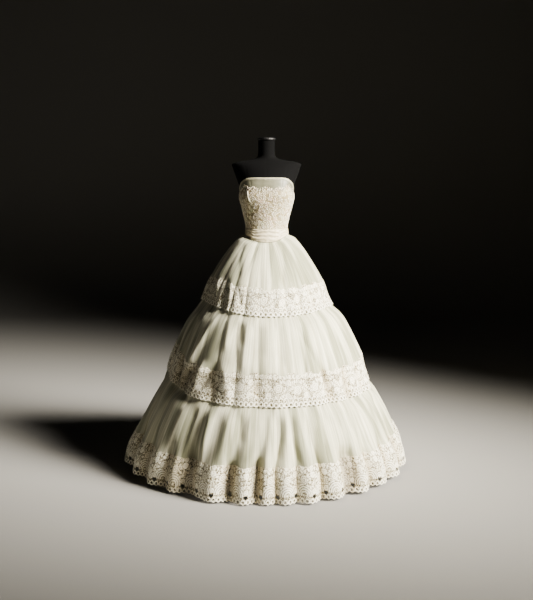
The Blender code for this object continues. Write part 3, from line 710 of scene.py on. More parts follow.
def make_net(tier, side, start, end):
    surface = net_surface(tier)

    def middle(angle):
        return between(net_head(tier, angle), seam_below(tier, angle), 0.8)

    angles, along = even_angles(surface, middle, start, end, NET_SQUARE)
    drop = float(np.mean(net_head(tier, angles) - seam_below(tier, angles)))
    across, up = len(angles) - 1, int(drop / NET_ROW)

    def carry(u, v):
        angle = np.interp(u, np.linspace(0, 1, len(angles)), angles)
        foot, head = seam_below(tier, angle), net_head(tier, angle)
        height = between(foot, head, v)
        points = surface(angle, height)
        points = points + grid_normals(points, u, v, across, up) * NET_OUT
        cloth = np.stack([np.interp(angle, angles, along), height, 0 * height], -1)
        fold = fold_fact(tier, angle, height)
        return points, {"cloth": cloth, "fold": fold}

    name = f"{tier.name}_tier_net_{side}"
    made = make_sheet(f"net_{tier.name}_{side}", across, up, carry, net)
    place_in_frame(made, "skirt_net", name)
    width = faces_area(made) / drop / GATHERED_SHARE
    return made


for tier in TIERS:
    for side, start, end in HALVES:
        piece = make_net(tier, side, start, end)
        tell(piece)

# %% [markdown]
# ## Lace
# The flounces are machine lace: thick satin-stitched flowers and leaves on a net ground, with
# cords that outline them, holes between, and a scalloped lower edge with a row of eyelets. The
# pattern is worked out once on a small flat swatch, in half-millimetre steps, from the ordinary
# shapes of a floral border. Each shape gives the thickness of its thread, from 0 to 1.

# %% The shapes that lace is drawn with
SWATCH_STEP = 0.0005
REPEAT = 0.088
SCALLOPS = 4
GROUND = 0.16
OUTLINE = 6
ROUND_ABOUT = (
    (0, 1), (0, -1), (1, 0), (-1, 0), (0.7, 0.7), (0.7, -0.7), (-0.7, 0.7), (-0.7, -0.7)
)


def soft_edge(distance, width=0.0008):
    """1 inside a shape and 0 outside it, from the distance past its outline."""
    return ease(0.5 - distance / (2 * width))


def turned(x, y, centre, degrees):
    turn = math.radians(degrees)
    dx, dy = x - centre[0], y - centre[1]
    return dx * math.cos(turn) + dy * math.sin(turn), dy * math.cos(turn) - dx * math.sin(turn)


def leaf(x, y, foot, degrees, length, width):
    """A pointed leaf from its foot, with an open vein down its middle and ribs across."""
    along, off = turned(x, y, foot, degrees)
    share = np.clip(along / length, 0, 1)
    half = width * np.sin(np.pi * share**0.8) * 0.5
    inside = soft_edge(np.abs(off) - half) * (along > 0) * (along < length)
    vein = soft_edge(np.abs(off) - 0.0005, 0.0006)
    ribs = 0.5 + 0.5 * np.cos((along - np.abs(off) * 0.8) / 0.0036 * 2 * np.pi)
    return inside * (1 - 0.7 * vein) * (0.72 + 0.28 * ribs)


def flower(x, y, centre, radius, petals, degrees):
    """An open flower: round petals with cord edges, and a ring of holes round its eye."""
    dx, dy = x - centre[0], y - centre[1]
    around = np.arctan2(dy, dx) - math.radians(degrees)
    away = np.hypot(dx, dy)
    edge = radius * (0.80 + 0.20 * np.abs(np.cos(around * petals / 2)))
    body = soft_edge(away - edge)
    rim = soft_edge(np.abs(away - edge + 0.0010) - 0.0009)
    slit = soft_edge(np.abs(np.sin(around * petals / 2)) * away - 0.0007, 0.0006)
    slit = slit * (away > radius * 0.35)
    holes = soft_edge(np.abs(away - radius * 0.36) - 0.0011)
    holes = holes * (0.5 + 0.5 * np.cos(around * petals * 2))
    return np.maximum(body * 0.72 * (1 - slit) * (1 - holes), rim * (away > radius * 0.4))


def arch(x, y, centre, radius, width):
    """Half a ring that stands on its centre's level, as the borders of the petals do."""
    dx, dy = x - centre[0], y - centre[1]
    away = np.hypot(dx, dy * 0.9)
    return soft_edge(np.abs(away - radius) - width / 2) * (dy > -0.004)


def hole(x, y, centre, radius):
    return soft_edge(np.hypot(x - centre[0], y - centre[1]) - radius)


# %% [markdown]
# ### Laying the shapes on a swatch
# A lace machine repeats its pattern along the cloth, so what crosses the swatch's right edge goes
# on at its left. Round each shape a line of open ground is left, as the real motifs are set off.

# %% Stamp shapes, sprays and ferns
LEAFLET_PITCH, FAINT = 0.0080, 0.15


def stamp(swatch, draw, centre, reach, *facts, wrap_up=False, outlined=True):
    """Draws one shape, with a line of open ground round it, on a swatch that repeats sideways."""
    span = np.arange(-int(reach / SWATCH_STEP), int(reach / SWATCH_STEP) + 1)
    columns = int(round(centre[0] / SWATCH_STEP)) + span
    rows = int(round(centre[1] / SWATCH_STEP)) + span
    if not wrap_up:
        rows = rows[(rows >= 0) & (rows < swatch.shape[0])]
    x, y = np.meshgrid(columns * SWATCH_STEP, rows * SWATCH_STEP)
    place = np.ix_(rows % swatch.shape[0], columns % swatch.shape[1])
    drawn = draw(x, y, centre, *facts)
    if outlined:
        near = drawn > FAINT
        for down, right in ROUND_ABOUT:
            shift = (int(round(down * OUTLINE)), int(round(right * OUTLINE)))
            near = near | (np.roll(drawn, shift, (0, 1)) > 2 * FAINT)
        swatch[place] = np.where(near, GROUND, swatch[place])
    swatch[place] = np.maximum(swatch[place], drawn)


def rose(x, y, centre, radius, degrees):
    """A full flower: petals that wind round its eye, each with a bright cord edge."""
    dx, dy = x - centre[0], y - centre[1]
    around = np.arctan2(dy, dx) + math.radians(degrees)
    away = np.hypot(dx, dy)
    edge = radius * (0.88 + 0.12 * np.cos(around * 5))
    winding = 0.5 + 0.5 * np.cos(2 * np.pi * (away / 0.0078 + around / (2 * np.pi)))
    return soft_edge(away - edge) * (0.30 + 0.70 * winding**1.5)


def spray(swatch, foot, degrees, count, length, width, wrap_up=False):
    """A few leaves that spread from one foot like a fan."""
    for number in range(count):
        turn = degrees + (number - (count - 1) / 2) * 42.0
        stamp(swatch, leaf, foot, length, turn, length, width, wrap_up=wrap_up)


def fern(swatch, foot, degrees, length, leaflet):
    """A curved stem with a leaflet on each side at every 8 mm."""
    x, y = foot
    turn = degrees
    for number in range(int(length / LEAFLET_PITCH)):
        size = leaflet * (1.0 - 0.5 * number * LEAFLET_PITCH / length)
        for side in (-58.0, 58.0):
            stamp(swatch, leaf, (x, y), size, turn + side, size, 0.0058)
        x += LEAFLET_PITCH * math.cos(math.radians(turn))
        y += LEAFLET_PITCH * math.sin(math.radians(turn))
        turn += 9.0 if degrees < 90 else -9.0


# %% [markdown]
# ### The three flounces' patterns
# The hem has arched petals one inside another with ferns between them and full flowers above. The
# two upper flounces have a garland that waves along under a row of small flowers.

# %% Draw the swatches
def scalloped_border(swatch, repeat):
    """The cords and small arches along the lower edge, and its eyelets as a second swatch."""
    holes = np.zeros_like(swatch)
    pitch = REPEAT / SCALLOPS
    for number in range(int(round(repeat / pitch))):
        centre = pitch * (number + 0.5)
        stamp(swatch, arch, (centre, 0.0115), 0.012, 0.0082, 0.0036)
        stamp(holes, hole, (centre, 0.0120), 0.008, 0.0034, outlined=False)
    rows, columns = swatch.shape
    x, y = np.meshgrid(np.arange(columns) * SWATCH_STEP, np.arange(rows) * SWATCH_STEP)
    edge_cord = soft_edge(np.abs(y - 0.0022 - scallop(x)) - 0.0020)
    swatch[:] = np.maximum(swatch, edge_cord)
    return holes


def blank_swatch(repeat, tall):
    return np.full((int(round(tall / SWATCH_STEP)), int(round(repeat / SWATCH_STEP))), GROUND)


def draw_hem_swatch():
    """The hem's lace: arched petals one inside another, ferns between them and flowers above."""
    swatch = blank_swatch(REPEAT, 0.175)
    middle = REPEAT / 2
    for radius in (0.0140, 0.0225, 0.0310, 0.0395):
        stamp(swatch, arch, (middle, 0.036), 0.048, radius, 0.0046)
    spray(swatch, (middle, 0.032), 90, 3, 0.0120, 0.0060)
    stamp(swatch, flower, (0.0, 0.050), 0.02, 0.0115, 6, 15)
    fern(swatch, (0.0, 0.066), 90, 0.034, 0.0170)
    stamp(swatch, rose, (middle, 0.098), 0.03, 0.0200, 0)
    spray(swatch, (middle - 0.016, 0.106), 150, 3, 0.0190, 0.0080)
    spray(swatch, (middle + 0.016, 0.106), 30, 3, 0.0190, 0.0080)
    stamp(swatch, flower, (0.0, 0.116), 0.02, 0.0135, 6, 30)
    spray(swatch, (middle, 0.120), 90, 3, 0.0220, 0.0090)
    stamp(swatch, flower, (0.0, 0.140), 0.02, 0.0110, 5, 0)
    stamp(swatch, flower, (middle, 0.144), 0.02, 0.0100, 5, 30)
    for side in (-1, 1):
        stamp(swatch, leaf, (side * 0.014, 0.128), 0.02, 90 - side * 30, 0.0190, 0.0080)
        stamp(swatch, leaf, (side * 0.012, 0.084), 0.02, 90 - side * 60, 0.0170, 0.0075)
        stamp(swatch, leaf, (side * 0.014, 0.060), 0.02, 90 - side * 20, 0.0170, 0.0075)
    holes = scalloped_border(swatch, REPEAT)
    for side in (-1, 1):
        stamp(holes, hole, (side * 0.0046, 0.0315), 0.01, 0.0058, outlined=False)
    stamp(holes, hole, (0.0, 0.0250), 0.01, 0.0052, outlined=False)
    return swatch * (1 - holes)


def draw_flounce_swatch(tall):
    """The upper flounces' lace: a garland that waves along, with roses, flowers and leaves."""
    repeat = 2 * REPEAT
    swatch = blank_swatch(repeat, tall + 0.02)
    line, wave = tall * 0.54, tall * 0.17
    for number in range(22):
        share = number / 22
        place = (repeat * share, line + wave * math.sin(2 * math.pi * share))
        slope = math.degrees(math.atan2(wave * 2 * math.pi * math.cos(2 * math.pi * share), repeat))
        for side in (-62.0, 62.0):
            stamp(swatch, leaf, place, 0.022, slope + side, 0.0205, 0.0074)
    stamp(swatch, rose, (repeat * 0.25, line - 0.004), 0.03, 0.0215, 0)
    stamp(swatch, rose, (repeat * 0.75, line + 0.006), 0.03, 0.0230, 40)
    stamp(swatch, flower, (repeat * 0.02, line + 0.027), 0.02, 0.0150, 6, 10)
    stamp(swatch, flower, (repeat * 0.50, line - 0.027), 0.02, 0.0150, 7, 0)
    stamp(swatch, flower, (repeat * 0.99, line - 0.026), 0.02, 0.0125, 6, 0)
    spray(swatch, (repeat * 0.86, line + 0.022), 80, 3, 0.0240, 0.0090)
    spray(swatch, (repeat * 0.40, line + 0.020), 100, 3, 0.0220, 0.0090)
    spray(swatch, (repeat * 0.14, line - 0.024), 260, 3, 0.0200, 0.0085)
    spray(swatch, (repeat * 0.66, line - 0.026), 270, 3, 0.0170, 0.0085)
    for number in range(8):
        place = repeat / 8 * (number + 0.5)
        radius, petals, lean = 0.0085 + 0.002 * (number % 3), 5 + number % 2, 80 + 25 * (number % 2)
        stamp(swatch, flower, (place, tall - 0.011), 0.02, radius, petals, number * 20)
        stamp(swatch, leaf, (place + 0.011, tall - 0.020), 0.02, lean, 0.0180, 0.0080)
        stamp(swatch, arch, (place, 0.0270), 0.014, 0.0105, 0.0036)
    return swatch * (1 - scalloped_border(swatch, repeat))


def scallop(along):
    """How far the lower edge rises between two scallops, in metres."""
    pitch = REPEAT / SCALLOPS
    return 0.0050 * np.abs(np.cos(np.pi * along / pitch)) ** 1.6


def on_swatch(swatch, along, up):
    """Reads the swatch between its steps, repeating it along the cloth."""
    rows, columns = swatch.shape
    x, y = along / SWATCH_STEP, np.clip(up / SWATCH_STEP, 0, rows - 1.001)
    column, row = np.floor(x).astype(int), np.floor(y).astype(int)
    share, beside = x - column, (column + 1) % columns
    column = column % columns
    low = between(swatch[row, column], swatch[row, beside], share)
    high = between(swatch[row + 1, column], swatch[row + 1, beside], share)
    return between(low, high, y - row)


SWATCHES = {
    "first": draw_flounce_swatch(0.120),
    "second": draw_flounce_swatch(0.139),
    "third": draw_hem_swatch(),
}
for name, swatch in SWATCHES.items():
    print(name, "flounce's swatch:", swatch.shape, "mean thickness", round(float(swatch.mean()), 2))

# %% [markdown]
# ### Lace as a material
# Cotton and rayon lace is matt and creamy, almost white where its threads are thick. Between the
# flowers run fine cords, called brides, that leave uneven holes. A Voronoi pattern has just such
# cell walls, so the brides are drawn from its distance to the edge. The real cells are 3 to 5 mm
# and would not show, so they are drawn at 8.5 mm. Inside the flowers a second one, at 5.2 mm,
# gives the close stitches. Between the threads the lace lets a little of the net through.
# Where the threads are thin the lace is painted dark brown and kept mostly opaque, a painted shadow
# for the shade that falls through its holes. It is also painted darker in the valleys of its folds,
# a painted shade.

# %% The lace material
BRIDE_CELL, STITCH_CELL = 0.0085, 0.0052


def lace_material():
    lace = new_material("ivory machine lace")
    place, motif = cloth_place(lace), fact(lace, "thread")
    # There is no thread in an eyelet, so no bride crosses it and it is quite clear.
    past_eyelet = stretched(lace, motif, 0.02, 0.12)
    bride = stretched(lace, cells(lace, place, BRIDE_CELL), 0.04, 0.14, 0.48, 0.0)
    brides = joined(lace, "MULTIPLY", bride, past_eyelet)
    stitch = stretched(lace, cells(lace, place, STITCH_CELL), 0.10, 0.45, 1.0, 0.45)
    worked = joined(lace, "MULTIPLY", motif, stitch)
    thread = joined(lace, "MAXIMUM", worked, brides)
    # The dark browns of the thin ground are painted shadow seen through the holes; the thick thread
    # keeps the lace's own cream.
    colour = ramp(
        lace, thread, (0.15, "#6a6043"), (0.34, "#a89e78"), (0.50, "#f8f2da"), (1.0, "#fffdf2")
    )
    # Painted shade: darker in the valleys of the lace's folds.
    depth = ramp(lace, fact(lace, "fold"), (0.0, "#7b6d54"), (0.30, "#d6ccb6"), (0.65, "#ffffff"))
    # The ground stays mostly opaque, so that its painted shadow covers the net behind it.
    solid = stretched(lace, thread, 0.12, 0.42, 0.78, 1.0)
    set_shader(
        lace, Base_Color=mixed(lace, 0.7, colour, depth), Roughness=0.7,
        Alpha=joined(lace, "MULTIPLY", solid, past_eyelet),
        Normal=relief(lace, thread, 0.9, 0.0014), Sheen_Weight=0.15, Specular_IOR_Level=0.3,
    )
    return lace


lace = lace_material()

# %% [markdown]
# ### The flounces
# Each flounce hangs from its upper edge and swings clear of the net below. The squares are
# 2.65 mm, fine enough to carry the pattern. The points rise with the threads by 0.9 mm.

# %% Build the flounces
LACE_SQUARE, LACE_OUT, LACE_RELIEF = 0.00265, 0.0016, 0.0009
MEASURED_ABOVE_HEM, RIM_IN, RIM_HALF = 0.03, 0.002, 0.0016


def top_outline(tier, along):
    """How far the flounce's flowers reach above or below its upper line, in metres."""
    wave = np.sin(2 * np.pi * along / REPEAT)
    small = np.sin(2 * np.pi * along / REPEAT * 3 + 0.7)
    uneven = drift(along * 360.0, 0 * along, Waves(29, 1.0, 81))
    depth = 0.002 if tier is TIERS[2] else 0.0050
    return depth * (wave + 0.5 * small + uneven)


def make_flounce(tier, side, start, end):
    swatch = SWATCHES[tier.name]

    def surface(angle, height):
        return tier_point(tier, angle, height)

    def measured_line(angle):
        return lace_hem(tier, angle) + MEASURED_ABOVE_HEM

    angles, along = even_angles(surface, measured_line, start, end, LACE_SQUARE)
    drop = tier.lace_top - tier.lace_hem
    across, up_squares = len(angles) - 1, int(drop / LACE_SQUARE)

    def carry(u, v):
        angle = np.interp(u, np.linspace(0, 1, len(angles)), angles)
        run = np.interp(angle, angles, along)
        low = scallop(run)
        tall = drop + top_outline(tier, run)
        up = between(low, tall, v)
        height = lace_hem(tier, angle) + up
        thread = on_swatch(swatch, run, up)
        rim = soft_edge(np.abs(up - tall + RIM_IN) - RIM_HALF)
        thread = np.maximum(thread, 0.5 * rim)
        points = surface(angle, height)
        out = grid_normals(points, u, v, across, up_squares)
        points = points + out * (LACE_OUT + LACE_RELIEF * thread)[:, None]
        cloth = np.stack([run, height, 0 * height], -1)
        fold = fold_fact(tier, angle, height)
        return points, {"cloth": cloth, "fold": fold, "thread": thread}

    made = make_sheet(f"lace_{tier.name}_{side}", across, up_squares, carry, lace)
    place_in_frame(made, "flounce_lace", f"{tier.name}_tier_lace_{side}")
    return made


for tier in TIERS:
    for side, start, end in HALVES:
        piece = make_flounce(tier, side, start, end)
        tell(piece)

# %% [markdown]
# ## The bodice
# The bodice is boned and fits the form closely. Its panels are heavy satin, cut in five pieces
# with seams over the bust and at the sides. Rows run from the waist seam, through the top of the
# waistband, to the neckline.

# %% Places on the bodice
BODICE_SHARES = (0.16, 0.32, 0.47, 0.61, 0.75, 0.91, 1.0)
TOP_ROW = 2 + len(BODICE_SHARES)
LACE_ROW = TOP_ROW - 2
FORM_GAP, CLOTH_WALL, LAYER_GAP = 0.0004, 0.002, 0.0007
BODICE_LIFT = FORM_GAP + CLOTH_WALL
ON_BODICE = BODICE_LIFT + LAYER_GAP
PRINCESS_SEAM, SIDE_SEAM, PLACKET_EDGE = 32.0, 92.0, 174.0
GIRTH = 0.75

Edge = namedtuple("Edge", "angle share")
LACE_EDGE = rows_of(
    Edge,
    (0, 0.55), (8, 0.35), (16, 0.20), (24, 0.45), (32, 0.35), (42, 0.75), (52, 1.00), (180, 1.00),
)


def row_height(angle, row):
    """The height of a place on the bodice, from its row."""
    seam = line_height(WAIST_SEAM, angle)
    band = line_height(BAND_TOP, angle)
    top = line_height(NECKLINE, angle)
    heights = [seam, between(seam, band, 0.5), band]
    heights += [between(band, top, share) for share in BODICE_SHARES]
    heights = np.stack(heights)
    low = np.clip(np.floor(row).astype(int), 0, len(heights) - 2)
    at = np.arange(len(angle))
    return between(heights[low, at], heights[low + 1, at], row - low)


def bodice_point(angle, row, out):
    height = row_height(angle, row)
    normals = normal_of(form_point, angle, height, 0.5, 0.002)
    return form_point(angle, height) + normals * out[:, None]


# %% [markdown]
# ### Satin
# Duchess satin is a close weave with long floats, so it has a soft sheen and no visible threads.
# The sheen comes from a roughness near 0.4 that varies with faint slubs along the weft, and the
# colour drifts in soft patches. Under the lace it is picked deeper, a painted shade for the lace's
# shadow on it, so that the lace stands out from it.

# %% The satin material
def satin_material(name, light, shade, roughness):
    satin = new_material(name)
    place = cloth_place(satin)
    slubs = noise(satin, place, (90.0, 900.0), 3.0)
    soft = noise(satin, place, (45.0, 60.0), 2.0)
    set_shader(
        satin, Base_Color=ramp(satin, soft, (0.3, shade), (0.7, light)),
        Roughness=stretched(satin, slubs, 0.0, 1.0, roughness - 0.06, roughness + 0.08),
        Normal=relief(satin, slubs, 0.25, 0.0003), Sheen_Weight=0.15, Specular_IOR_Level=0.45,
    )
    return satin


# The bodice's satin is painted a dark olive grey, a painted shade for the lace over it.
bodice_satin_in_painted_shade = satin_material("ivory duchess satin", "#7c7b66", "#696853", 0.42)
binding_satin = satin_material("ivory satin binding", "#bfb99d", "#a39d82", 0.42)
band_satin = satin_material("draped ivory satin", "#eee3c4", "#cdbf99", 0.36)

# %% Build the satin panels
PANELS = {
    "bodice_front_centre": (-PRINCESS_SEAM, PRINCESS_SEAM),
    "bodice_side_front_left": (PRINCESS_SEAM, SIDE_SEAM),
    "bodice_side_front_right": (-SIDE_SEAM, -PRINCESS_SEAM),
    "bodice_back_left": (SIDE_SEAM, 180.0),
    "bodice_back_right": (-180.0, -SIDE_SEAM),
}


def flat_facts(angle, height):
    """How far along and up the cloth each point is, at the bodice's mean girth."""
    return np.stack([angle / 360 * GIRTH, height, 0 * height], -1)


PANEL_STEP, PANEL_TALL, PANEL_ROWS = 1.2, 0.26, 90


def make_panel(node, start, end):
    def carry(u, v):
        angle, row = between(start, end, u), v * TOP_ROW
        to_seam = np.minimum(np.abs(angle - start), np.abs(angle - end))
        dip = 0.0006 * np.exp(-((to_seam / 0.8) ** 2))
        points = bodice_point(angle, row, BODICE_LIFT - dip)
        return points, {"cloth": flat_facts(angle, row_height(angle, row))}

    name, across = node.replace("bodice_", "satin_"), int((end - start) / PANEL_STEP)
    made = make_sheet(name, across, PANEL_ROWS, carry, bodice_satin_in_painted_shade)
    place_in_frame(made, "ivory_satin", node)
    width = faces_area(made) / PANEL_TALL
    return made


for node, (start, end) in PANELS.items():
    piece = make_panel(node, start, end)
    tell(piece)

# %% [markdown]
# ### Binding, waistband and placket
# A narrow bias binding closes the top edge. The waistband is one strip of satin pleated along its
# length, so it shows soft folds that slope and meet. The back closes with covered buttons on a
# plain placket.

# %% Build the binding
BINDING_WIDTH = 0.009


def binding_row(angle):
    heights = row_height(angle, np.full(len(angle), float(TOP_ROW)))
    below = row_height(angle, np.full(len(angle), TOP_ROW - 1.0))
    return TOP_ROW - BINDING_WIDTH / (heights - below)


def carry_binding(u, v):
    angle = between(-180.0, 180.0, u)
    row = between(binding_row(angle), float(TOP_ROW), v)
    round_over = 0.0007 * np.sin(np.pi * v) + 0.0007
    points = bodice_point(angle, row, ON_BODICE + round_over)
    return points, {"cloth": flat_facts(angle, row_height(angle, row))}


binding = make_sheet("top_binding", 300, 6, carry_binding, binding_satin)
place_in_frame(binding, "ivory_satin", "neckline_binding")
tell(binding)

# %% Build the draped waistband
BAND_PLEATS = 3.0


def band_pleats(angle, row):
    """How far the waistband's pleats stand out, in metres."""
    broad = drift(angle, row * 0.1, Waves(14, 1.0, 31))
    sway = 0.55 * broad + 0.20 * drift(angle, row * 0.1, Waves(41, 1.0, 32))
    slope = 0.55 * np.exp(-(((angle + 40) / 22) ** 2)) * (row - 1.0)
    phase = row / 2.0 * BAND_PLEATS + sway + slope
    pleat = 0.5 - 0.5 * np.cos(2 * np.pi * phase)
    crease = drift(angle, row * 0.5, Waves(60, 0.5, 33)) * 0.0005
    edge = np.minimum(1.0, np.minimum(row, 2.0 - row) / 0.12)
    deep = 0.0028 + 0.0010 * drift(angle, row * 0.3, Waves(19, 1.0, 34))
    return (0.0012 + deep * pleat**0.8 + crease) * edge + 0.0006


def carry_band(u, v):
    angle, row = between(-180.0, 180.0, u), v * 2.0
    points = bodice_point(angle, row, ON_BODICE + band_pleats(angle, row))
    return points, {"cloth": flat_facts(angle, row_height(angle, row))}


waistband = make_sheet("draped_waistband", 420, 44, carry_band, band_satin)
place_in_frame(waistband, "ivory_satin", "waistband")
band_area = faces_area(waistband)
tell(waistband)

# %% [markdown]
# ### Beaded lace
# Over the satin lies a fine lace whose flowers are sewn round with small glass beads. The lace
# reads as a warm, busy relief; a few flowers are tinted peach and leaf green. Its upper edge
# follows the flowers and leaves plain satin showing below the binding.
# Below its upper edge the open ground is filled with a dark olive, a painted shade for the holes,
# where the satin lies in the lace's shadow.

# %% Draw the bodice lace
BODICE_REPEAT, BLOOM_GAP = GIRTH / 4, 0.0170
Bloom = namedtuple("Bloom", "across up radius petals turn tint")


def scatter_blooms():
    """Flowers thrown at random, each kept if it lies at least 17 mm from the ones before."""
    chance = np.random.default_rng(5)
    blooms = []
    for _ in range(2500):
        across, up = chance.uniform(0, BODICE_REPEAT, 2)
        radius, tint = chance.uniform(0.0070, 0.0120), chance.choice([0.0, 0.2, 0.6, 1.0])
        petals, turn = int(chance.integers(5, 8)), chance.uniform(0, 360)
        for other in blooms:
            gaps = abs(across - other.across), abs(up - other.up)
            if math.hypot(*[min(gap, BODICE_REPEAT - gap) for gap in gaps]) < BLOOM_GAP:
                break
        else:
            blooms.append(Bloom(across, up, radius, petals, turn, tint))
    return blooms


BLOOMS = scatter_blooms()


def blush(x, y, centre, radius, tint):
    """A soft round patch of tint over one flower."""
    return tint * soft_edge(np.hypot(x - centre[0], y - centre[1]) - radius, 0.003)


def bodice_swatch():
    """Thread thickness and tint of the beaded lace over one square repeat."""
    count = int(round(BODICE_REPEAT / SWATCH_STEP))
    threads, tint = np.full((count, count), GROUND), np.zeros((count, count))
    for bloom in BLOOMS:
        centre = (bloom.across, bloom.up)
        stamp(threads, flower, centre, 0.012, bloom.radius, bloom.petals, bloom.turn, wrap_up=True)
        spray(threads, centre, bloom.turn, 4, bloom.radius * 2.1, 0.0050, wrap_up=True)
        stamp(tint, blush, centre, 0.014, bloom.radius, bloom.tint, wrap_up=True, outlined=False)
    return threads, tint


beaded_threads, beaded_tint = bodice_swatch()


def on_square(swatch, along, up):
    return on_swatch(np.vstack([swatch, swatch[:2]]), along, up % BODICE_REPEAT)


# %% The beaded lace material
def beaded_material():
    beaded = new_material("beaded ivory lace")
    thread = fact(beaded, "thread")
    # The dark olive of the thin ground is painted shade for the holes; the flowers keep their
    # cream.
    colour = ramp(
        beaded, thread, (0.14, "#9d8e69"), (0.34, "#c9bc98"), (0.62, "#ebe1c4"), (1.0, "#fffae6")
    )
    hue = noise(beaded, cloth_place(beaded), (17.0, 17.0), 1.0)
    tones = ramp(beaded, hue, (0.40, "#c8cf9a"), (0.50, "#e8d8b0"), (0.62, "#e9b79c"))
    amount = joined(beaded, "MULTIPLY", fact(beaded, "tint"), 0.40)
    worked = stretched(beaded, thread, 0.18, 0.45)
    set_shader(
        beaded, Base_Color=mixed(beaded, amount, colour, tones, "MIX"), Roughness=0.55,
        Alpha=joined(beaded, "MAXIMUM", fact(beaded, "filled"), worked),
        Normal=relief(beaded, thread, 0.9, 0.0012), Sheen_Weight=0.15, Specular_IOR_Level=0.4,
    )
    return beaded


beaded_lace = beaded_material()

# %% Build the beaded lace
BODICE_LACE_TALL, BODICE_LACE_ROWS, BAND_ROW = 0.19, 130, 2.02


def lace_edge_row(angle):
    return LACE_ROW + read(LACE_EDGE, "share", np.abs(wrapped(angle)))


def crease(angle, height):
    """A sharp fold where the lace stands off the cup on the wearer's right, in metres."""
    path = np.interp(height, (1.264, 1.317, 1.345), (-33.0, -38.5, -24.0))
    off = (angle - path) * 0.0021
    ends = ease((height - 1.250) / 0.03) * ease((1.352 - height) / 0.01)
    return 0.0042 * np.exp(-np.where(off > 0, off / 0.0050, -off / 0.0016)) * ends


def bodice_lace_place(angle, row):
    height = row_height(angle, row)
    run = angle / 360 * GIRTH
    thread = on_square(beaded_threads, run, height)
    stands = crease(angle, height)
    # Along the crest of the crease the lace is set to full thread, its whitest colour: a painted
    # highlight on the fold.
    thread = np.maximum(thread, 1.3 * ease((stands - 0.0022) / 0.0014))
    lift = ON_BODICE + 0.0006 + 0.0012 * thread + stands
    return height, run, thread, lift


def make_beaded(node, start, end):
    def carry(u, v):
        angle = between(start, end, u)
        row = between(BAND_ROW, lace_edge_row(angle), v)
        height, run, thread, lift = bodice_lace_place(angle, row)
        points = bodice_point(angle, row, lift)
        tint = on_square(beaded_tint, run, height)
        filled = ease((row_height(angle, lace_edge_row(angle)) - height) / 0.026)
        facts = {"cloth": flat_facts(angle, height), "thread": thread, "tint": tint}
        return points, {**facts, "filled": filled}

    name, across = node.replace("bodice_lace", "beaded_lace"), int((end - start) * 1.5)
    made = make_sheet(name, across, BODICE_LACE_ROWS, carry, beaded_lace)
    place_in_frame(made, "beaded_lace", node)
    width = faces_area(made) / BODICE_LACE_TALL
    return made


for node, start, end in (
    ("bodice_lace_front", -SIDE_SEAM, SIDE_SEAM),
    ("bodice_lace_back_left", SIDE_SEAM, PLACKET_EDGE),
    ("bodice_lace_back_right", -PLACKET_EDGE, -SIDE_SEAM),
):
    piece = make_beaded(node, start, end)
    tell(piece)

# %% [markdown]
# ### Beads
# The beads are glass, 2.4 to 4.2 mm across, sewn round the flowers and thinly between them. All
# of them are one mesh, so that they stay light, and each has only 20 faces.

# %% The glass of the beads
def glass_material():
    glass = new_material("pearl glass beads")
    place = add_node(glass, "TexCoord").outputs["Object"]
    lustre = add_node(glass, "TexNoise", {"Vector": place, "Scale": 160.0}).outputs["Fac"]
    colour = ramp(glass, lustre, (0.30, "#f0e2cc"), (0.6, "#ffffff"))
    set_shader(glass, Base_Color=colour, Roughness=0.12, Specular_IOR_Level=0.8, Coat_Weight=0.6)
    return glass


# %% Sew on the beads
RING_BEAD, EYE_BEAD, LOOSE_BEAD = 0.0013, 0.0021, 0.0012


def bead_places():
    """Run, height and radius of every bead: rings round the flowers, and loose ones between."""
    chance = np.random.default_rng(7)
    places = []
    for sideways in range(-3, 3):
        for upwards in range(5, 9):
            for bloom in BLOOMS:
                run = bloom.across + sideways * BODICE_REPEAT
                height = bloom.up + upwards * BODICE_REPEAT
                for number in range(bloom.petals):
                    turn = 2 * math.pi * number / bloom.petals + math.radians(bloom.turn)
                    reach = bloom.radius * (0.95 if number % 2 else 0.55)
                    on_ring = run + reach * math.cos(turn), height + reach * math.sin(turn)
                    places.append((*on_ring, RING_BEAD))
                places.append((run, height, EYE_BEAD))
                run += chance.uniform(-0.02, 0.02)
                height += chance.uniform(-0.02, 0.02)
                places.append((run, height, LOOSE_BEAD))
    return np.array(places)


def row_at(angle, height):
    """The row of a height on the bodice, found by halving."""
    low, high = np.full(len(angle), 0.0), np.full(len(angle), float(TOP_ROW))
    for _ in range(24):
        middle = (low + high) / 2
        above = row_height(angle, middle) > height
        low, high = np.where(above, low, middle), np.where(above, middle, high)
    return low


def sew_beads():
    run, height, radius = bead_places().T
    angle = run / GIRTH * 360
    row = row_at(angle, height)
    kept = (np.abs(angle) < PLACKET_EDGE - 2) & (row > 2.1) & (row < lace_edge_row(angle) - 0.08)
    angle, row, radius = angle[kept], row[kept], radius[kept]
    lift = bodice_lace_place(angle, row)[3]
    centres = bodice_point(angle, row, lift + radius * 0.4)
    shape = bmesh.new()
    bmesh.ops.create_icosphere(shape, subdivisions=1, radius=1.0)
    ball = np.array([tuple(vert.co) for vert in shape.verts])
    sides = np.array([[vert.index for vert in face.verts] for face in shape.faces])
    shape.free()
    points = centres[:, None, :] + ball[None, :, :] * radius[:, None, None]
    faces = sides[None, :, :] + (np.arange(len(centres)) * len(ball))[:, None, None]
    mesh = bpy.data.meshes.new("sewn_beads")
    mesh.from_pydata(points.reshape(-1, 3).tolist(), [], faces.reshape(-1, 3).tolist())
    place_in_frame(new_piece(mesh, glass_material()), "beaded_lace")
    return len(centres)


print(sew_beads(), "beads sewn on")

# %% [markdown]
# ## The back closure
# Small satin-covered buttons run down a plain placket at the centre back.

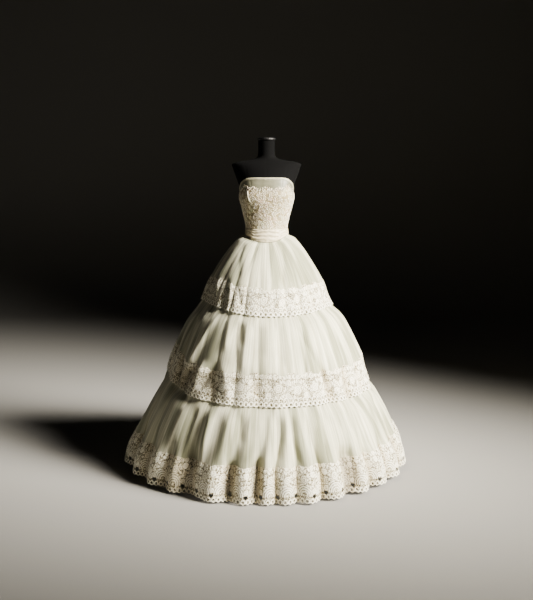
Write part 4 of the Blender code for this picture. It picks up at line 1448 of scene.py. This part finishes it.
# %% Build the placket and its buttons
def carry_placket(u, v):
    angle = between(PLACKET_EDGE, 360 - PLACKET_EDGE, u)
    row = between(np.full(len(u), BAND_ROW), binding_row(angle) - 0.03, v)
    points = bodice_point(angle, row, ON_BODICE + 0.0012 + 0.0003 * np.sin(np.pi * u))
    return points, {"cloth": flat_facts(angle, row_height(angle, row))}


placket = make_sheet("back_placket_strip", 16, 80, carry_placket, band_satin)
place_in_frame(placket, "ivory_satin", "back_placket")
tell(placket)

BUTTONS = [f"back_button_{number}" for number in range(1, 9)]
BUTTON_RADIUS, BUTTON_FLATNESS = 0.0053, 0.62


def make_buttons():
    shape = bmesh.new()
    for node in BUTTONS:
        low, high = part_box(node)
        centre = (low + high) / 2
        made = bmesh.ops.create_uvsphere(
            shape, u_segments=20, v_segments=12, radius=BUTTON_RADIUS
        )
        bmesh.ops.scale(shape, vec=(1.0, BUTTON_FLATNESS, 1.0), verts=made["verts"])
        bmesh.ops.translate(shape, vec=centre, verts=made["verts"])
    buttons = new_piece(as_mesh("covered_buttons", shape), band_satin)
    place_in_frame(buttons, "covered_buttons", *BUTTONS)
    return buttons


tell(make_buttons())

# %% [markdown]
# ## The form and its stand
# The form is covered in black jersey, a fine knit that swallows light. The neck cap and the round
# base are black painted metal, and the pole is steel.

# %% The form's materials
def jersey_material():
    jersey = new_material("black cotton jersey")
    place = add_node(jersey, "TexCoord").outputs["Object"]
    knit = add_node(
        jersey, "TexWave", {"Vector": place, "Scale": 160.0, "Distortion": 1.5, "Detail": 2.0},
        wave_type="BANDS", bands_direction="Z",
    ).outputs["Fac"]
    set_shader(
        jersey, Base_Color=ramp(jersey, knit, (0.2, "#040404"), (0.8, "#0a0a0b")), Roughness=0.9,
        Normal=relief(jersey, knit, 0.3, 0.0004), Specular_IOR_Level=0.08,
    )
    return jersey


def metal_material(name, hex_colour, roughness, metallic):
    metal = new_material(name)
    place = add_node(metal, "TexCoord").outputs["Object"]
    inputs = {"Vector": place, "Scale": 240.0, "Detail": 3.0}
    grain = add_node(metal, "TexNoise", inputs).outputs["Fac"]
    set_shader(
        metal, Base_Color=linear(hex_colour), Metallic=metallic,
        Roughness=stretched(metal, grain, 0.0, 1.0, roughness - 0.08, roughness + 0.08),
        Normal=relief(metal, grain, 0.15, 0.0004),
    )
    return metal


jersey = jersey_material()
painted = metal_material("black painted steel", "#111112", 0.45, 0.0)
steel = metal_material("brushed steel", "#8a8a8c", 0.35, 1.0)
for node, material in (
    ("form_base", painted),
    ("form_collar", painted),
    ("form_neck_cap", painted),
    ("form_pole", steel),
):
    nodes[node].data.materials.clear()
    nodes[node].data.materials.append(material)

# %% Build the padded torso
TORSO_SEAM, SHOULDERS_FROM = 38.0, 1.385


def carry_torso(u, v):
    angle = between(-180.0, 180.0, u)
    height = between(FORM_SECTIONS[0].height, FORM_SECTIONS[-1].height, v)
    seam_off = np.minimum(np.abs(wrapped(angle)), np.abs(np.abs(angle) - TORSO_SEAM))
    stitched = 0.0006 * np.exp(-((seam_off / 0.7) ** 2)) * ease((height - SHOULDERS_FROM) / 0.01)
    out = normal_of(form_point, angle, height, 0.5, 0.002)
    points = form_point(angle, height) - out * stitched[:, None]
    return points, {"cloth": flat_facts(angle, height)}


torso = make_sheet("padded_torso", 180, 150, carry_torso, jersey)
closing = bmesh.new()
closing.from_mesh(torso.data)
bmesh.ops.remove_doubles(closing, verts=closing.verts[:], dist=0.00001)
rims = [edge for edge in closing.edges if edge.is_boundary]
bmesh.ops.holes_fill(closing, edges=rims, sides=0)
bmesh.ops.recalc_face_normals(closing, faces=closing.faces[:])
closing.to_mesh(torso.data)
closing.free()
place_in_frame(torso, "form_cover", "form_torso")
tell(torso)

# %% [markdown]
# ## The stage
# The dress stands on a pale floor of paper that curves up into a backdrop, far enough behind to
# stay out of the light.

# %% Lay the floor
ROOM, CURVE_FROM, CURVE, CURVE_STEPS = 7.0, 5.0, 1.5, 12


def make_backdrop():
    outline = [(-ROOM, 0.0), (CURVE_FROM, 0.0)]
    for step in range(1, CURVE_STEPS + 1):
        turn = math.radians(step * 90 / CURVE_STEPS)
        outline.append((CURVE_FROM + CURVE * math.sin(turn), CURVE - CURVE * math.cos(turn)))
    outline.append((CURVE_FROM + CURVE, ROOM))
    shape = bmesh.new()
    path = [shape.verts.new((-ROOM, y, z)) for y, z in outline]
    edges = [shape.edges.new((low, high)) for low, high in zip(path, path[1:])]
    made = bmesh.ops.extrude_edge_only(shape, edges=edges)
    moved = [item for item in made["geom"] if isinstance(item, bmesh.types.BMVert)]
    bmesh.ops.translate(shape, vec=(2 * ROOM, 0.0, 0.0), verts=moved)
    bmesh.ops.recalc_face_normals(shape, faces=shape.faces[:])
    paper = new_material("pale backdrop paper")
    set_shader(paper, Base_Color=linear("#9b9995"), Roughness=0.95)
    backdrop = new_piece(as_mesh("pale_backdrop", shape), paper)
    return backdrop


tell(make_backdrop())

# %% [markdown]
# ### Light
# One large soft lamp stands to the right and in front, above the dress. Its light crosses the
# folds, so they show. A weak lamp and a dim room keep the far side from going black.

# %% Set the lamps
ROOM_LIGHT = 0.006
Lamp = namedtuple("Lamp", "name place aim size power colour spread")
LAMPS = rows_of(
    Lamp,
    ("key", (3.58, -1.78, 2.75), (0.10, 0.0, 0.64), 2.0, 150.0, "#fff8ea", 42.0),
    ("fill", (-2.2, -3.6, 1.6), (0.0, 0.0, 0.7), 2.6, 0.4, "#f4eee6", 120.0),
)
for lamp in LAMPS:
    light = bpy.data.lights.new(lamp.name, "AREA")
    light.shape = "SQUARE"
    light.size = lamp.size
    light.energy = lamp.power
    light.color = linear(lamp.colour)[:3]
    light.spread = math.radians(lamp.spread)
    holder = bpy.data.objects.new(lamp.name, light)
    holder.location = lamp.place
    shines = Vector(lamp.aim) - Vector(lamp.place)
    holder.rotation_euler = shines.to_track_quat("-Z", "Y").to_euler()
    bpy.context.scene.collection.objects.link(holder)

world = bpy.data.worlds.new("soft room")
world.use_nodes = True
background = world.node_tree.nodes["Background"]
background.inputs["Color"].default_value = linear("#d8d6d2")
background.inputs["Strength"].default_value = ROOM_LIGHT
bpy.context.scene.world = world
print(len(LAMPS), "lamps and a room light of", ROOM_LIGHT)

# %% [markdown]
# ### Camera
# The camera looks from the front at chest height and tilts down to take in the hem.

# %% Set the camera
CAMERA_BACK, CAMERA_UP, LOOK_DOWN = 4.14, 1.30, 7.0
PHOTO_TALL, FOCAL_PIXELS, FILM = 600, 853.0, 36.0
camera_data = bpy.data.cameras.new("photo camera")
camera_data.sensor_width = FILM
camera_data.lens = FOCAL_PIXELS / PHOTO_TALL * FILM
camera = bpy.data.objects.new("photo camera", camera_data)
camera.location = (0.0, -CAMERA_BACK, CAMERA_UP)
camera.rotation_euler = (math.radians(90.0 - LOOK_DOWN), 0.0, 0.0)
bpy.context.scene.collection.objects.link(camera)
bpy.context.scene.camera = camera
print("lens", round(camera_data.lens, 1), "mm")
